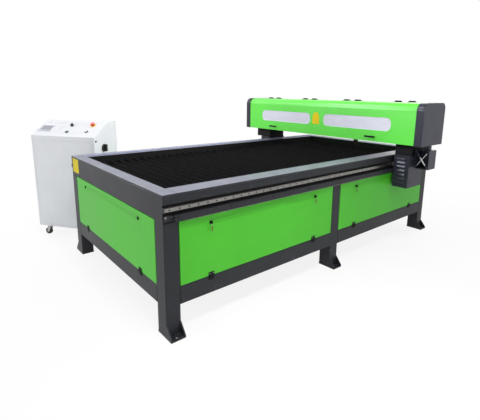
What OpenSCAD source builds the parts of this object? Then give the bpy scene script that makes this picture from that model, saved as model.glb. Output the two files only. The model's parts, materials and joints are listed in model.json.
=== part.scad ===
// Gantry laser cutter: a welded slat bed, a hooded gantry that runs along it, and an operator console.
// Millimetres, +Z up, +Y along the bed to the parked gantry. Origin on the floor under the bed's middle.

/* [Bed] */
// Width over the long sides
bed_w = 1560; // [1500:10:1800]
// Length over the two ends
bed_l = 2930; // [2800:10:3300]
// Height of the rim above the floor
bed_h = 825; // [800:5:860]
// Thickness of the rim strips
rim_t = 8; // [5:1:12]
// Width of the rim strip on the operator's long side
rim_right = 128; // [110:1:140]
// Width of the rim strip on the other long side
rim_left = 35; // [25:1:60]
// Width of the rim strips at the two ends
rim_end = 83; // [70:1:100]
// Width of a leg across the bed
leg_x = 102; // [80:1:120]
// Width of a leg along the bed
leg_y = 92; // [70:1:110]
// Wall of the square tubes
tube_wall = 5; // [3:0.5:8]
// Outer corner radius of the square tubes
tube_r = 6; // [3:0.5:9]
// How far a foot reaches out past its leg
foot_out = 50; // [40:1:70]
// Thickness of a foot plate
foot_t = 10; // [6:1:16]
// Rise of the foot gussets
foot_rise = 68; // [50:1:100]
// Thickness of the foot gussets
gusset_t = 8; // [5:1:12]
// Diameter of the anchor hole in a foot plate
foot_hole_d = 18; // [12:1:22]
// Width of a side beam behind its machined seat
beam_x = 94; // [85:1:110]
// Height of a side beam
beam_h = 149; // [147:1:165]
// Step between the machined seat and the upper strip of a side beam
strip_t = 6; // [3:0.5:9]
// Height of the upper strip of a side beam
strip_h = 47; // [40:1:50]
// Height of an end beam
end_beam_h = 145; // [130:1:147]
// Depth of an end beam
end_beam_t = 80; // [60:1:90]
// Underside of the lower rails above the floor
low_z = 179; // [150:1:200]
// Height of the lower rails
low_h = 110; // [90:1:120]
// Depth of the lower rails
low_t = 80; // [60:1:90]
// Thickness of the inner wall plates
liner_t = 3; // [2:0.5:5]
// Depth of the inner wall plates below the rim strips
liner_h = 210; // [160:5:240]

/* [Slats] */
// Thickness of a slat
slat_t = 5; // [3:0.5:8]
// Height of a slat
slat_h = 80; // [60:1:90]
// Distance from slat to slat
slat_pitch = 70; // [55:1:100]
// Slat points below the rim
slat_drop = 45; // [42:1:60]
// Distance between the points of a slat
point_pitch = 34; // [25:1:50]
// Depth of the notches between the points
point_depth = 14; // [8:1:20]
// Thickness of the notched bars that hold the slats
comb_t = 6; // [4:1:10]
// Height of the notched bars
comb_h = 70; // [55:1:90]
// Depth of the notches in those bars
comb_notch = 30; // [20:1:40]
// Play of a slat in its notch
slat_play = 0.3; // [0.2:0.1:0.6]
// Depth of the scrap trays
tray_h = 70; // [50:1:110]
// Sheet thickness of the scrap trays
tray_t = 3; // [2:0.5:4]

/* [Doors] */
// Sheet thickness of doors and panels
sheet = 2; // [1.5:0.5:3]
// Depth of a door pan
door_t = 20; // [15:1:30]
// Gap round a door
door_gap = 3; // [2:0.5:5]
// Distance of hinges and locks from the ends of a door
fitting_inset = 205; // [150:1:300]
// Distance of a lock below the top of its door
lock_drop = 46; // [42:1:70]
// Diameter of a lock's collar
lock_d = 21; // [18:1:22]
// Width of a hinge
hinge_w = 40; // [30:1:60]
// Height of a hinge leaf
leaf_h = 18; // [14:1:25]
// Thickness of a hinge leaf
leaf_t = 2.5; // [1.5:0.5:3]
// Diameter of a hinge knuckle
knuckle_d = 9; // [7:0.5:9]
// Diameter of a hinge pin
pin_d = 4; // [3:0.5:5]

/* [Guides and drive] */
// Width of a long guide rail
rail_w = 20; // [15:1:22]
// Height of a long guide rail
rail_h = 17.5; // [14:0.5:18]
// Distance between the bolt holes of a guide rail
rail_pitch = 60; // [40:5:80]
// Diameter of the bolt recesses of a guide rail
rail_hole_d = 9.5; // [6:0.5:11]
// Length of a long guide block
block_l = 77; // [60:1:85]
// Width of a long guide block
block_w = 44; // [40:1:46]
// Distance from the rail's seat to the outer face of its block
block_h = 30; // [28:1:36]
// Running gap between a rail and its block
rail_gap = 0.3; // [0.2:0.1:0.5]
// Thickness of the ledge that carries the gear rack
ledge_t = 20; // [14:1:24]
// Thickness of the ledge's outer lip
lip_t = 4; // [3:0.5:6]
// Module of the gear teeth
gear_module = 2; // [1.5:0.25:2]
// Teeth of a pinion
pinion_teeth = 18; // [17:1:18]
// Width of a gear rack
rack_w = 16; // [12:1:16]
// Height of a gear rack from its tips to its back
rack_h = 22; // [18:0.5:24]
// Radial gap added between a rack and its pinion
mesh_gap = 0.15; // [0.1:0.05:0.3]
// Tooth play at the pitch line
backlash = 0.3; // [0.2:0.05:0.5]
// Diameter of the pinion shafts
shaft_d = 14; // [10:1:16]
// Radial play of shafts and plungers in their bores
run_fit = 0.05; // [0.02:0.01:0.1]

/* [Gantry] */
// Middle of the parked gantry along the bed
gantry_y = 890; // [600:10:1000]
// Length of a gantry bracket along the bed
bracket_l = 226; // [215:1:240]
// Thickness of the bracket plates
plate_t = 14; // [10:1:18]
// Underside of the cross beam above the rim
beam_lift = 115; // [112:1:140]
// Height of the box riser of a bracket
riser_h = 105; // [90:1:110]
// Width of the right riser
riser_right = 156; // [150:1:165]
// Width of the left riser
riser_left = 220; // [190:1:220]
// Width of a motor cover
cover_w = 141; // [138:1:150]
// Length of a motor cover
cover_l = 246; // [244:1:260]
// Height of a motor cover
cover_h = 285; // [260:1:300]
// Louvres on a motor cover
louvre_count = 7; // [4:1:7]
// Distance between louvres
louvre_pitch = 35; // [28:1:36]
// Length of a louvre
louvre_l = 74; // [50:1:110]
// First louvre below the top of its cover
louvre_top = 20; // [16:1:40]
// Size of a drive gearbox across its flats
motor_w = 80; // [60:1:90]
// Depth of the cross beam
cross_t = 80; // [60:1:84]
// Height of the cross beam
cross_h = 160; // [155:1:180]
// Width of the drive box at the right end
drive_box_w = 120; // [100:1:125]
// Length of the drive box along the bed
drive_box_l = 130; // [100:1:150]
// Height of the drive box
drive_box_h = 162; // [120:1:170]

/* [Hood] */
// Length of the hood over its end caps
hood_l = 2180; // [2150:10:2400]
// Width of an end cap
cap_w = 65; // [40:1:80]
// Wall of an end cap
cap_wall = 3; // [2:0.5:5]
// Height of the hood
hood_h = 342; // [320:1:380]
// Hood front ahead of the middle of the gantry
hood_front = 236; // [220:1:260]
// Hood rear behind the middle of the gantry
hood_rear = 125; // [122:1:150]
// Bend radius at the front top edge
hood_r = 62; // [40:1:80]
// Bend radius at the rear top edge
hood_rear_r = 50; // [30:1:52]
// Hinge line behind the middle of the gantry
hood_hinge_y = 38; // [30:1:39]
// Width of the folded lip along the lower front edge
hood_lip = 20; // [10:1:30]
// Middle of the first pair of hood hinges, from the hood's left end
hood_hinge_x = 135; // [110:5:200]
// Distance between pairs of hood hinges
hood_hinge_pitch = 555; // [500:5:570]
// Distance between the two hinges of a pair
hood_hinge_gap = 130; // [90:5:160]
// Size of a hood hinge against a door hinge
hood_hinge_scale = 1.5; // [1:0.1:1.6]
// Length of a window in the hood front
window_l = 724; // [500:1:740]
// Height of a window
window_h = 114; // [80:1:140]
// Corner radius of a window
window_r = 44; // [20:1:50]
// Distance of a window from the middle of the hood
window_x = 448; // [420:1:520]
// Middle of the windows above the hood's lower edge
window_z = 156; // [130:1:180]
// Distance of each hand grip from the nearer end of the hood
grip_x = 405; // [300:5:500]
// Width of a hand grip
grip_w = 90; // [50:1:100]
// Middle of the hand grips above the hood's lower edge
grip_z = 42; // [30:1:60]

/* [Cutting head] */
// Parked place of the head across the bed
head_x = 363; // [200:5:400]
// Nozzle tip above the rim
tip_lift = 46; // [30:1:55]
// Width of a cross guide rail
cross_rail_w = 15; // [12:1:16]
// Height of a cross guide rail
cross_rail_h = 15; // [12:1:15]
// Distance from the cross rail's seat to the outer face of its block
cross_block_h = 28; // [26:1:30]
// Length of a cross guide block
cross_block_l = 58; // [40:1:60]
// Width of a cross guide block
cross_block_w = 34; // [30:1:36]
// Distance between the two cross rails
cross_rail_gap = 110; // [106:1:120]
// Thickness of the carriage plate
carriage_t = 12; // [8:1:15]
// Width of the head slide
slide_w = 80; // [60:1:90]
// Height of the head slide
slide_h = 130; // [100:1:135]
// Depth of the head slide
slide_t = 36; // [30:1:40]
// Width of the upright guide of the head slide
key_w = 30; // [20:1:40]
// Depth of the upright guide of the head slide
key_t = 12; // [8:1:15]
// Width of the head block
head_w = 56; // [44:1:60]
// Height of the head block
head_h = 60; // [50:1:70]
// Length of the nozzle
nozzle_l = 34; // [25:1:40]

/* [Console] */
// Middle of the console front across the bed
console_x = -1127; // [-1400:1:-1100]
// Middle of the console front along the bed
console_y = -1439; // [-1600:1:-1400]
// Turn of the console about the upright
console_turn = 36; // [20:1:45]
// Width of the console
console_w = 644; // [560:1:720]
// Depth of the console
console_d = 340; // [320:1:450]
// Height of the console's front edge
console_front_h = 949; // [900:1:980]
// Height of the console's top
console_h = 1073; // [1040:1:1120]
// Depth of the flat top
console_flat = 114; // [90:1:130]
// Sheet thickness of the console
console_t = 3; // [2:0.5:4]
// Border round the console's front panel
front_border = 20; // [15:1:30]
// Height of the casters
caster_h = 100; // [90:1:120]
// Diameter of the caster wheels
wheel_d = 62; // [50:1:70]
// Width of the caster wheels
wheel_w = 24; // [18:1:30]
// Trail of the casters
caster_trail = 24; // [18:1:30]
// Distance of the casters from the console's sides
caster_inset = 75; // [65:1:90]
// Diameter of the mounting holes of the push buttons
button_d = 22; // [16:1:24]

/* [Hidden] */
$fn = 48;

charcoal = [0.25, 0.25, 0.26];
steel = [0.68, 0.67, 0.65];
green = [0.33, 0.72, 0.25];
lime = [0.38, 0.85, 0.28];
slate = [0.30, 0.30, 0.34];
black = [0.07, 0.07, 0.08];
off_white = [0.88, 0.88, 0.90];

eps = 0.5;
joint_gap = 0.2;
half_w = bed_w / 2;
half_l = bed_l / 2;
top_z = bed_h - rim_t;
beam_z = top_z - beam_h;
seat_x = half_w - strip_t;
beam_in = seat_x - beam_x;
end_beam_z = top_z - end_beam_h;
low_top = low_z + low_h;
leg_in = half_w - leg_x;
leg_rows = [-half_l + leg_y / 2, 0, half_l - leg_y / 2];
foot_hole_x = half_w + foot_out * 0.55;

// Slat bed
liner_x = min(beam_in, leg_in);
well_x0 = -liner_x + liner_t;
well_x1 = half_w - rim_right;
well_l = bed_l - 2 * (end_beam_t + liner_t);
slat_top = bed_h - slat_drop;
slat_z = slat_top - slat_h;
slat_count = floor((well_l - slat_pitch) / slat_pitch) + 1;
comb_z = slat_z + comb_notch - comb_h;
comb_xs = [well_x0, (well_x0 + well_x1 - comb_t) / 2, well_x1 - comb_t];

// Doors and hinges
seam = 1;
hinge_off = 5;
hinge_z = low_top + seam;
door_z = low_top + 2 * seam;
side_door_top = beam_z - door_gap;
end_door_top = end_beam_z - door_gap;
side_door_l = half_l - leg_y * 1.5 - 2 * door_gap;
side_door_mid = (half_l - leg_y / 2) / 2;
end_door_l = 2 * (leg_in - door_gap);
knuckle_mid = hinge_w * 0.35;
knuckle_gap = 0.3;
leaf_gap = 1;
leaf_z = knuckle_d / 2 + leaf_gap;
stop_t = 3;
stop_drop = 18;
stop_back = door_t + 3;
lock_shank_d = lock_d - 3;
lock_cam_w = 12;
lock_cam_l = 30;
lock_collar_t = 3.5;

// Guides, racks and pinions
rail_z = top_z - strip_h - 26;
rail_end = 3;
ledge_top = rail_z - block_w / 2 - 12;
ledge_z = ledge_top - ledge_t;
ledge_out = block_h - 2;
ledge_short = 60;
tip_z = ledge_z - rack_h;
lip_z = tip_z + 3.25 * gear_module;
tooth_pitch = PI * gear_module;
pitch_r = gear_module * pinion_teeth / 2;
pressure = 20;
base_r = pitch_r * cos(pressure);
tip_r = pitch_r + gear_module;
root_r = pitch_r - 1.25 * gear_module;
pinion_z = tip_z + gear_module - pitch_r - mesh_gap;
rack_x = seat_x + ledge_out - lip_t - 2 - rack_w;
pinion_w = rack_w - 2;
rack_run = [-half_l + 130, half_l - 70];

// Gantry
plate_x = seat_x + block_h;
cross_z = bed_h + beam_lift;
riser_z = cross_z - riser_h;
plate_z = pinion_z - motor_w / 2 - 12;
block_step = bracket_l / 2 - block_l / 2;
cover_z = riser_z - cover_h;
gear_l = 60;
pad_t = 5;
cap_gap = 12;
cap_x = hood_l / 2 - cap_w;
hood_z = cross_z;
hood_top = hood_z + hood_h;
cross_face = hood_rear - 10 - cross_t;
hood_axis_z = hood_top + hood_hinge_scale * hinge_off;

// Cutting head
cross_rail_z = [cross_z + 25, cross_z + 25 + cross_rail_gap];
cross_tip_z = cross_z + 90;
cross_pinion_z = cross_tip_z + gear_module - pitch_r - mesh_gap;
cross_rack_face = cross_face - rack_w;
cross_pinion_x = head_x + slide_w / 2 + 55;
carriage_y = cross_face - cross_block_h - carriage_t;
carriage_x = [head_x - slide_w / 2 - 60, cross_pinion_x + 85];
carriage_z = cross_z + 5;
carriage_h = cross_rail_gap + 60;
slide_gap = 0.2;
slide_z = carriage_z + 10;
slide_y = carriage_y - 1 - slide_t;
tip_z0 = bed_h + tip_lift;
head_y = slide_y - head_w / 2;
head_z = tip_z0 + nozzle_l + 35;
small_motor_w = 56;

// Console
slope_rise = console_h - console_front_h;
slope_run = console_d - console_flat;
slope_deg = atan(slope_rise / slope_run);
slope_l = norm([slope_rise, slope_run]);
front_z = caster_h + front_border;
front_top = console_front_h - 45;
collar_d = button_d + 8;
collar_h = 6;
barrel_l = 26;
plunger_d = button_d - 2;
button_places = [[0, 0.66], [0.01, 0.27], [0.32, 0.72], [0.31, 0.32]];
switch_y = console_d * 0.4;
switch_z = 845;
caster_xs = [-console_w / 2 + caster_inset, console_w / 2 - caster_inset];
caster_ys = [55, console_d - 55];
swivel_d = 16;
axle_d = 10;
fork_t = 3;
fork_top = caster_h - 8;
swivel_gap = 0.3;

// Shared shapes

module both_sides() {
    children();
    mirror([1, 0, 0]) children();
}

// Rounded rectangle about its middle
module rounded_rect(l, h, r) {
    square([l - 2 * r, h], center = true);
    square([l, h - 2 * r], center = true);
    for (x = [-1, 1]) for (y = [-1, 1]) translate([x * (l / 2 - r), y * (h / 2 - r)]) circle(r);
}

// Section of a square tube about its middle
module tube_section(w, h) {
    difference() {
        rounded_rect(w, h, tube_r);
        square([w - 2 * tube_wall, h - 2 * tube_wall], center = true);
    }
}

// Square tube from one corner, open at both ends along the axis
module tube_along_x(size) {
    translate([0, size.y / 2, size.z / 2]) run_along_x(0, size.x) tube_section(size.y, size.z);
}

module tube_along_y(size) {
    translate([size.x / 2, 0, size.z / 2]) run_along_y(0, size.y) tube_section(size.x, size.z);
}

// Section drawn as (x, z), run along Y from y0 to y1
module run_along_y(y0, y1) {
    translate([0, y1, 0]) rotate([90, 0, 0]) linear_extrude(y1 - y0) children();
}

// Section drawn as (y, z), run along X from x0 to x1
module run_along_x(x0, x1) {
    translate([x0, 0, 0]) rotate([90, 0, 90]) linear_extrude(x1 - x0) children();
}

module rod_x(d, x0, x1) {
    translate([x0, 0, 0]) rotate([0, 90, 0]) cylinder(d = d, h = x1 - x0);
}

module rod_y(d, y0, y1) {
    translate([0, y1, 0]) rotate([90, 0, 0]) cylinder(d = d, h = y1 - y0);
}

// Outline of a guide rail, standing up from its seat, grown by a gap
module rail_outline(w, h, gap) {
    waist = w / 2 - 2 + gap;
    edge = w / 2 + gap;
    polygon([[0, -edge], [h * 0.32, -edge], [h * 0.49, -waist], [h * 0.66, -edge], [h + gap, -edge],
        [h + gap, edge], [h * 0.66, edge], [h * 0.49, waist], [h * 0.32, edge], [0, edge]]);
}

// Rack teeth pointing down from a pitch line at zero, numbered from the gap in the middle
function rack_outline(first, last, back) = let (
    root_half = tooth_pitch / 4 - backlash / 4 + 1.25 * gear_module * tan(pressure),
    tip_half = tooth_pitch / 4 - backlash / 4 - gear_module * tan(pressure),
    teeth = [for (i = [first:last]) let (c = (i + 0.5) * tooth_pitch)
        each [[c - root_half, 1.25 * gear_module], [c - tip_half, -gear_module],
            [c + tip_half, -gear_module], [c + root_half, 1.25 * gear_module]]]
) concat(teeth, [[(last + 1) * tooth_pitch, 1.25 * gear_module], [(last + 1) * tooth_pitch, back],
    [first * tooth_pitch, back], [first * tooth_pitch, 1.25 * gear_module]]);

function involute(a) = tan(a) * 180 / PI - a;

function tooth_half(r) = 90 / pinion_teeth - backlash / 4 / pitch_r * 180 / PI
    + involute(pressure) - involute(acos(min(1, base_r / r)));

// Pinion outline with one tooth pointing up
function pinion_outline(steps) = [for (i = [0:pinion_teeth - 1]) let (mid = 90 - i * 360 / pinion_teeth)
    each concat(
        [root_r * [cos(mid + tooth_half(base_r)), sin(mid + tooth_half(base_r))]],
        [for (s = [0:steps]) let (r = base_r + (tip_r - base_r) * s / steps, a = mid + tooth_half(r))
            r * [cos(a), sin(a)]],
        [for (s = [steps:-1:0]) let (r = base_r + (tip_r - base_r) * s / steps, a = mid - tooth_half(r))
            r * [cos(a), sin(a)]],
        [root_r * [cos(mid - tooth_half(base_r)), sin(mid - tooth_half(base_r))]])];

module pinion_gear(w) {
    linear_extrude(w) polygon(pinion_outline(4));
}

// Sheet pan with its back open, in the XZ plane, front face at y = 0
module pan(l, h) {
    difference() {
        translate([-l / 2, 0, 0]) cube([l, door_t, h]);
        translate([-l / 2 + sheet, sheet, sheet]) cube([l - 2 * sheet, door_t, h - 2 * sheet]);
    }
}

// Hinge halves, pin along y at the origin, the hung side up and the outside towards +x
module hinge_half_fixed() {
    translate([-hinge_off, -hinge_w / 2, -leaf_z - leaf_h]) cube([leaf_t, hinge_w, leaf_h]);
    translate([-hinge_off, -knuckle_mid / 2, -leaf_z - eps])
        cube([hinge_off - 1, knuckle_mid, leaf_z + eps]);
    rod_y(knuckle_d, -knuckle_mid / 2, knuckle_mid / 2);
    rod_y(pin_d, -hinge_w / 2, hinge_w / 2);
}

module hinge_half_hung() {
    side = (hinge_w - knuckle_mid) / 2 - knuckle_gap;
    difference() {
        union() {
            translate([-hinge_off, -hinge_w / 2, leaf_z]) cube([leaf_t, hinge_w, leaf_h]);
            for (y = [-hinge_w / 2, hinge_w / 2 - side]) {
                translate([-hinge_off, y, 0]) cube([hinge_off - 1, side, leaf_z + eps]);
                rod_y(knuckle_d, y, y + side);
            }
        }
        rod_y(pin_d + 2 * run_fit, -hinge_w, hinge_w);
    }
}

// Cam lock seen from the door: outside towards +x, door skin from x = -sheet to 0
module cam_lock(with_key) {
    back = stop_back + stop_t + 4;
    rod_x(lock_d, 0, lock_collar_t);
    rod_x(lock_shank_d, -back, 0);
    translate([-back - 3, -lock_cam_w / 2, -lock_cam_w / 2]) cube([3, lock_cam_l, lock_cam_w]);
    rod_x(lock_d * 0.55, lock_collar_t, lock_collar_t + 1.5);
    if (with_key) key();
}

module key() {
    bow_d = 15;
    bow_x = lock_collar_t + 1 + bow_d / 2;
    difference() {
        translate([bow_x, 1, 0]) rotate([90, 0, 0]) cylinder(d = bow_d, h = 2);
        translate([bow_x + 2, 2, 0]) rotate([90, 0, 0]) cylinder(d = 4.5, h = 4);
    }
}

// Places a hinge or lock frame on the long side or on the near end
module on_side(y, z) {
    translate([half_w, y, z]) children();
}

module on_end(x, z) {
    translate([x, -half_l, z]) rotate([0, 0, -90]) children();
}

// Bed

module leg() {
    difference() {
        union() {
            translate([-leg_x / 2, 0, foot_t]) linear_extrude(beam_z - foot_t)
                rounded_rect(leg_x, leg_y, tube_r);
            translate([-leg_x, -leg_y / 2, 0]) cube([leg_x + foot_out, leg_y, foot_t]);
            for (y = [-leg_y / 2, leg_y / 2 - gusset_t])
                run_along_y(y, y + gusset_t)
                    polygon([[-tube_r, foot_t - 1], [foot_out, foot_t - 1], [foot_out, foot_t + 6],
                        [0, foot_t + foot_rise], [-tube_r, foot_t + foot_rise]]);
        }
        translate([-leg_x + tube_wall, -leg_y / 2 + tube_wall, foot_t])
            cube([leg_x - 2 * tube_wall, leg_y - 2 * tube_wall, beam_z]);
        translate([foot_hole_x - half_w, 0, -eps]) cylinder(d = foot_hole_d, h = foot_t + 2 * eps);
    }
}

module legs() {
    color(charcoal) both_sides() for (y = leg_rows) translate([half_w, y, 0]) leg();
}

module lower_rails() {
    long_l = half_l - leg_y * 1.5;
    color(charcoal) {
        both_sides() for (y = [leg_y / 2, -leg_y / 2 - long_l])
            translate([half_w - low_t, y, low_z]) tube_along_y([low_t, long_l, low_h]);
        for (y = [-half_l, -low_t / 2, half_l - low_t])
            translate([-leg_in, y, low_z]) tube_along_x([2 * leg_in, low_t, low_h]);
    }
}

// Stop strip that a door closes against, hanging under its beam
module door_stop(l) {
    translate([-l / 2, stop_back, -stop_drop]) cube([l, stop_t, stop_drop]);
}

// Channels closed at both ends, open towards the well
module side_beams() {
    strip_z = top_z - strip_h;
    color(charcoal) both_sides() {
        difference() {
            run_along_y(-half_l, half_l)
                polygon([[beam_in, beam_z], [seat_x, beam_z], [seat_x, strip_z], [half_w, strip_z],
                    [half_w, top_z], [beam_in, top_z]]);
            translate([beam_in - eps, -half_l + 2 * tube_wall, beam_z + 2 * tube_wall])
                cube([beam_x - 2 * tube_wall + eps, bed_l - 4 * tube_wall, beam_h - 4 * tube_wall]);
        }
        for (y = [-side_door_mid, side_door_mid])
            translate([half_w, y, beam_z]) rotate([0, 0, 90]) door_stop(side_door_l);
    }
}

module end_beams() {
    color(charcoal) for (turn = [0, 180]) rotate([0, 0, turn]) {
        translate([-beam_in, -half_l, end_beam_z])
            tube_along_x([2 * beam_in, end_beam_t, end_beam_h]);
        translate([0, -half_l, end_beam_z]) door_stop(end_door_l - 40);
    }
}

module rack_ledges() {
    out = seat_x + ledge_out;
    color(charcoal) both_sides() run_along_y(-half_l + ledge_short, half_l - ledge_short)
        polygon([[seat_x, ledge_z], [out - lip_t, ledge_z], [out - lip_t, lip_z], [out, lip_z],
            [out, ledge_top], [seat_x, ledge_top]]);
}

module top_rim() {
    inner_l = bed_l - 2 * rim_end - 2 * joint_gap;
    color([0.69, 0.70, 0.76]) {
        for (y = [-half_l, half_l - rim_end]) translate([-half_w, y, top_z]) cube([bed_w, rim_end, rim_t]);
        translate([half_w - rim_right, -inner_l / 2, top_z]) cube([rim_right, inner_l, rim_t]);
        translate([-half_w, -inner_l / 2, top_z]) cube([rim_left, inner_l, rim_t]);
    }
}

module inner_walls() {
    wall_z = top_z - liner_h;
    color(black) {
        for (x = [-liner_x, well_x1]) translate([x, -well_l / 2 + joint_gap, wall_z])
            cube([liner_t, well_l - 2 * joint_gap, liner_h]);
        for (y = [-well_l / 2 - liner_t, well_l / 2])
            translate([-liner_x, y, wall_z]) cube([well_x1 + liner_x + liner_t, liner_t, liner_h]);
    }
}

function slat_outline(l) = let (n = floor(l / point_pitch), step = l / n) concat(
    [[0, 0], [l, 0]],
    [for (i = [n:-1:1]) each [[i * step, slat_h - point_depth], [(i - 0.5) * step, slat_h]]],
    [[0, slat_h - point_depth]]);

module slats() {
    l = well_x1 - well_x0 - 2;
    color([0.20, 0.19, 0.19]) for (i = [0:slat_count - 1])
        translate([well_x0 + 1, slat_row(i), slat_z])
            run_along_y(-slat_t / 2, slat_t / 2) polygon(slat_outline(l));
}

function slat_row(i) = (i - (slat_count - 1) / 2) * slat_pitch;

module slat_combs() {
    half_notch = slat_t / 2 + slat_play;
    notches = [for (i = [slat_count - 1:-1:0]) let (y = slat_row(i))
        each [[y + half_notch, comb_h], [y + half_notch, comb_h - comb_notch],
            [y - half_notch, comb_h - comb_notch], [y - half_notch, comb_h]]];
    half = well_l / 2;
    bar = [[-half, comb_h], [-half, 0], [half, 0], [half, comb_h]];
    color(black) for (x = comb_xs) translate([0, 0, comb_z])
        run_along_x(x, x + comb_t) polygon(concat(bar, notches));
}

module scrap_trays() {
    tray_w = 2 * leg_in - 70;
    tray_l = half_l - low_t / 2 - 2;
    color([0.35, 0.35, 0.36]) for (turn = [0, 180]) rotate([0, 0, turn])
        translate([-tray_w / 2, 2, low_top]) difference() {
            cube([tray_w, tray_l, tray_h]);
            translate([tray_t, tray_t, tray_t]) cube([tray_w - 2 * tray_t, tray_l - 2 * tray_t, tray_h]);
        }
}

module fixed_panels() {
    color(green) {
        for (y = [-side_door_mid, side_door_mid])
            translate([-half_w, y, low_top]) rotate([0, 0, -90]) pan(side_door_l, side_door_top - low_top);
        translate([0, half_l, low_top]) rotate([0, 0, 180]) pan(end_door_l, end_door_top - low_top);
    }
}

module guide_rails() {
    first = -half_l + rail_end;
    holes = floor((bed_l - 2 * rail_end) / rail_pitch) - 1;
    color(steel) both_sides() translate([seat_x, 0, rail_z]) difference() {
        run_along_y(first, -first) rail_outline(rail_w, rail_h, 0);
        for (i = [0:holes]) translate([0, first + (i + 0.5) * rail_pitch, 0])
            rod_x(rail_hole_d, rail_h * 0.5, rail_h + eps);
    }
}

// Tooth numbers counted from the gap over the parked pinion
rack_first = ceil((rack_run[0] - gantry_y) / tooth_pitch);
rack_last = floor((rack_run[1] - gantry_y) / tooth_pitch) - 1;

module gear_racks() {
    outline = rack_outline(rack_first, rack_last, rack_h - gear_module);
    color(steel) both_sides() translate([0, gantry_y, tip_z + gear_module])
        run_along_x(rack_x, rack_x + rack_w) polygon(outline);
}

// Rail end plate, and the bracket with its buffer just inside it
module end_buffers() {
    buffer_z = ledge_top - 8;
    color(black) for (turn = [0, 1]) mirror([0, turn, 0]) both_sides() {
        translate([seat_x, -half_l, rail_z - rail_w / 2 - 3]) cube([rail_h + 4, rail_end, rail_w + 6]);
        translate([seat_x, -half_l + 14, buffer_z - 14]) cube([20, 20, 26]);
        translate([seat_x + 11, 0, buffer_z]) rod_y(14, -half_l + 34, -half_l + ledge_short - 2);
    }
}

// Doors

module hinge_bases() {
    color(black) {
        for (y = [-side_door_mid, side_door_mid]) for (s = [-1, 1])
            on_side(y + s * (side_door_l / 2 - fitting_inset), hinge_z)
                translate([hinge_off, 0, 0]) hinge_half_fixed();
        for (s = [-1, 1]) on_end(s * (end_door_l / 2 - fitting_inset), hinge_z)
            translate([hinge_off, 0, 0]) hinge_half_fixed();
    }
}

module side_door(y) {
    h = side_door_top - door_z;
    color(green) difference() {
        translate([half_w, y, door_z]) rotate([0, 0, 90]) pan(side_door_l, h);
        for (s = [-1, 1]) on_side(y + s * (side_door_l / 2 - fitting_inset), side_door_top - lock_drop)
            rod_x(lock_shank_d + 0.4, -sheet - eps, eps);
    }
}

module side_door_fittings(y) {
    for (s = [-1, 1]) {
        at = y + s * (side_door_l / 2 - fitting_inset);
        color(black) on_side(at, hinge_z) translate([hinge_off, 0, 0]) hinge_half_hung();
        color(steel) on_side(at, side_door_top - lock_drop) cam_lock(true);
    }
}

module near_side_door() {
    side_door(-side_door_mid);
}

module near_side_door_fittings() {
    side_door_fittings(-side_door_mid);
}

module far_side_door() {
    side_door(side_door_mid);
}

module far_side_door_fittings() {
    side_door_fittings(side_door_mid);
}

module end_door() {
    h = end_door_top - door_z;
    color(green) difference() {
        translate([0, -half_l, door_z]) pan(end_door_l, h);
        for (s = [-1, 1]) on_end(s * (end_door_l / 2 - fitting_inset), end_door_top - lock_drop)
            rod_x(lock_shank_d + 0.4, -sheet - eps, eps);
    }
}

module end_door_fittings() {
    for (s = [-1, 1]) {
        at = s * (end_door_l / 2 - fitting_inset);
        color(black) on_end(at, hinge_z) translate([hinge_off, 0, 0]) hinge_half_hung();
        color(steel) on_end(at, end_door_top - lock_drop) cam_lock(false);
    }
}

// Gantry

module at_gantry() {
    translate([0, gantry_y, 0]) children();
}

module cross_beam() {
    reach = hood_l / 2 - cap_wall;
    color(charcoal) at_gantry() translate([-reach, cross_face, cross_z])
        tube_along_x([2 * reach, cross_t, cross_h]);
}

// Side plate, box riser and the pad that the cross beam sits on, just inside the end cap
module bracket(riser_w) {
    pad_w = cap_x - cap_gap - plate_x;
    difference() {
        union() {
            translate([plate_x, -bracket_l / 2, plate_z])
                cube([plate_t, bracket_l, riser_z - plate_z + eps]);
            translate([plate_x, -bracket_l / 2, riser_z]) cube([riser_w, bracket_l, riser_h - pad_t]);
            translate([plate_x, -bracket_l / 2, cross_z - pad_t - eps])
                cube([pad_w, bracket_l, pad_t + eps]);
        }
        translate([0, 0, pinion_z]) rod_x(2 * tip_r + 4, plate_x - eps, plate_x + plate_t + eps);
    }
}

module gantry_brackets() {
    color(black) at_gantry() {
        bracket(riser_right);
        mirror([1, 0, 0]) bracket(riser_left);
    }
}

module guide_blocks() {
    color(steel) at_gantry() both_sides() for (s = [-1, 1])
        translate([seat_x, s * block_step, rail_z]) difference() {
            translate([4, -block_l / 2, -block_w / 2]) cube([block_h - 4, block_l, block_w]);
            run_along_y(-block_l, block_l) rail_outline(rail_w, rail_h, rail_gap);
        }
}

module drive_motors() {
    color(black) at_gantry() both_sides() translate([plate_x + plate_t, 0, pinion_z]) difference() {
        union() {
            translate([0, -motor_w / 2, -motor_w / 2]) cube([gear_l, motor_w, motor_w]);
            rod_x(motor_w - 6, gear_l - eps, gear_l + 58);
        }
        rod_x(shaft_d + 2 * run_fit, -eps, 30);
    }
}

// Raised louvre blade over its slot, drawn as (y, z) with the wall's outer face at y = 0
module louvre_blade() {
    polygon([[0, 0], [-9, -15], [-9, -17], [-7.4, -17], [0.2, -4.4]]);
}

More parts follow.
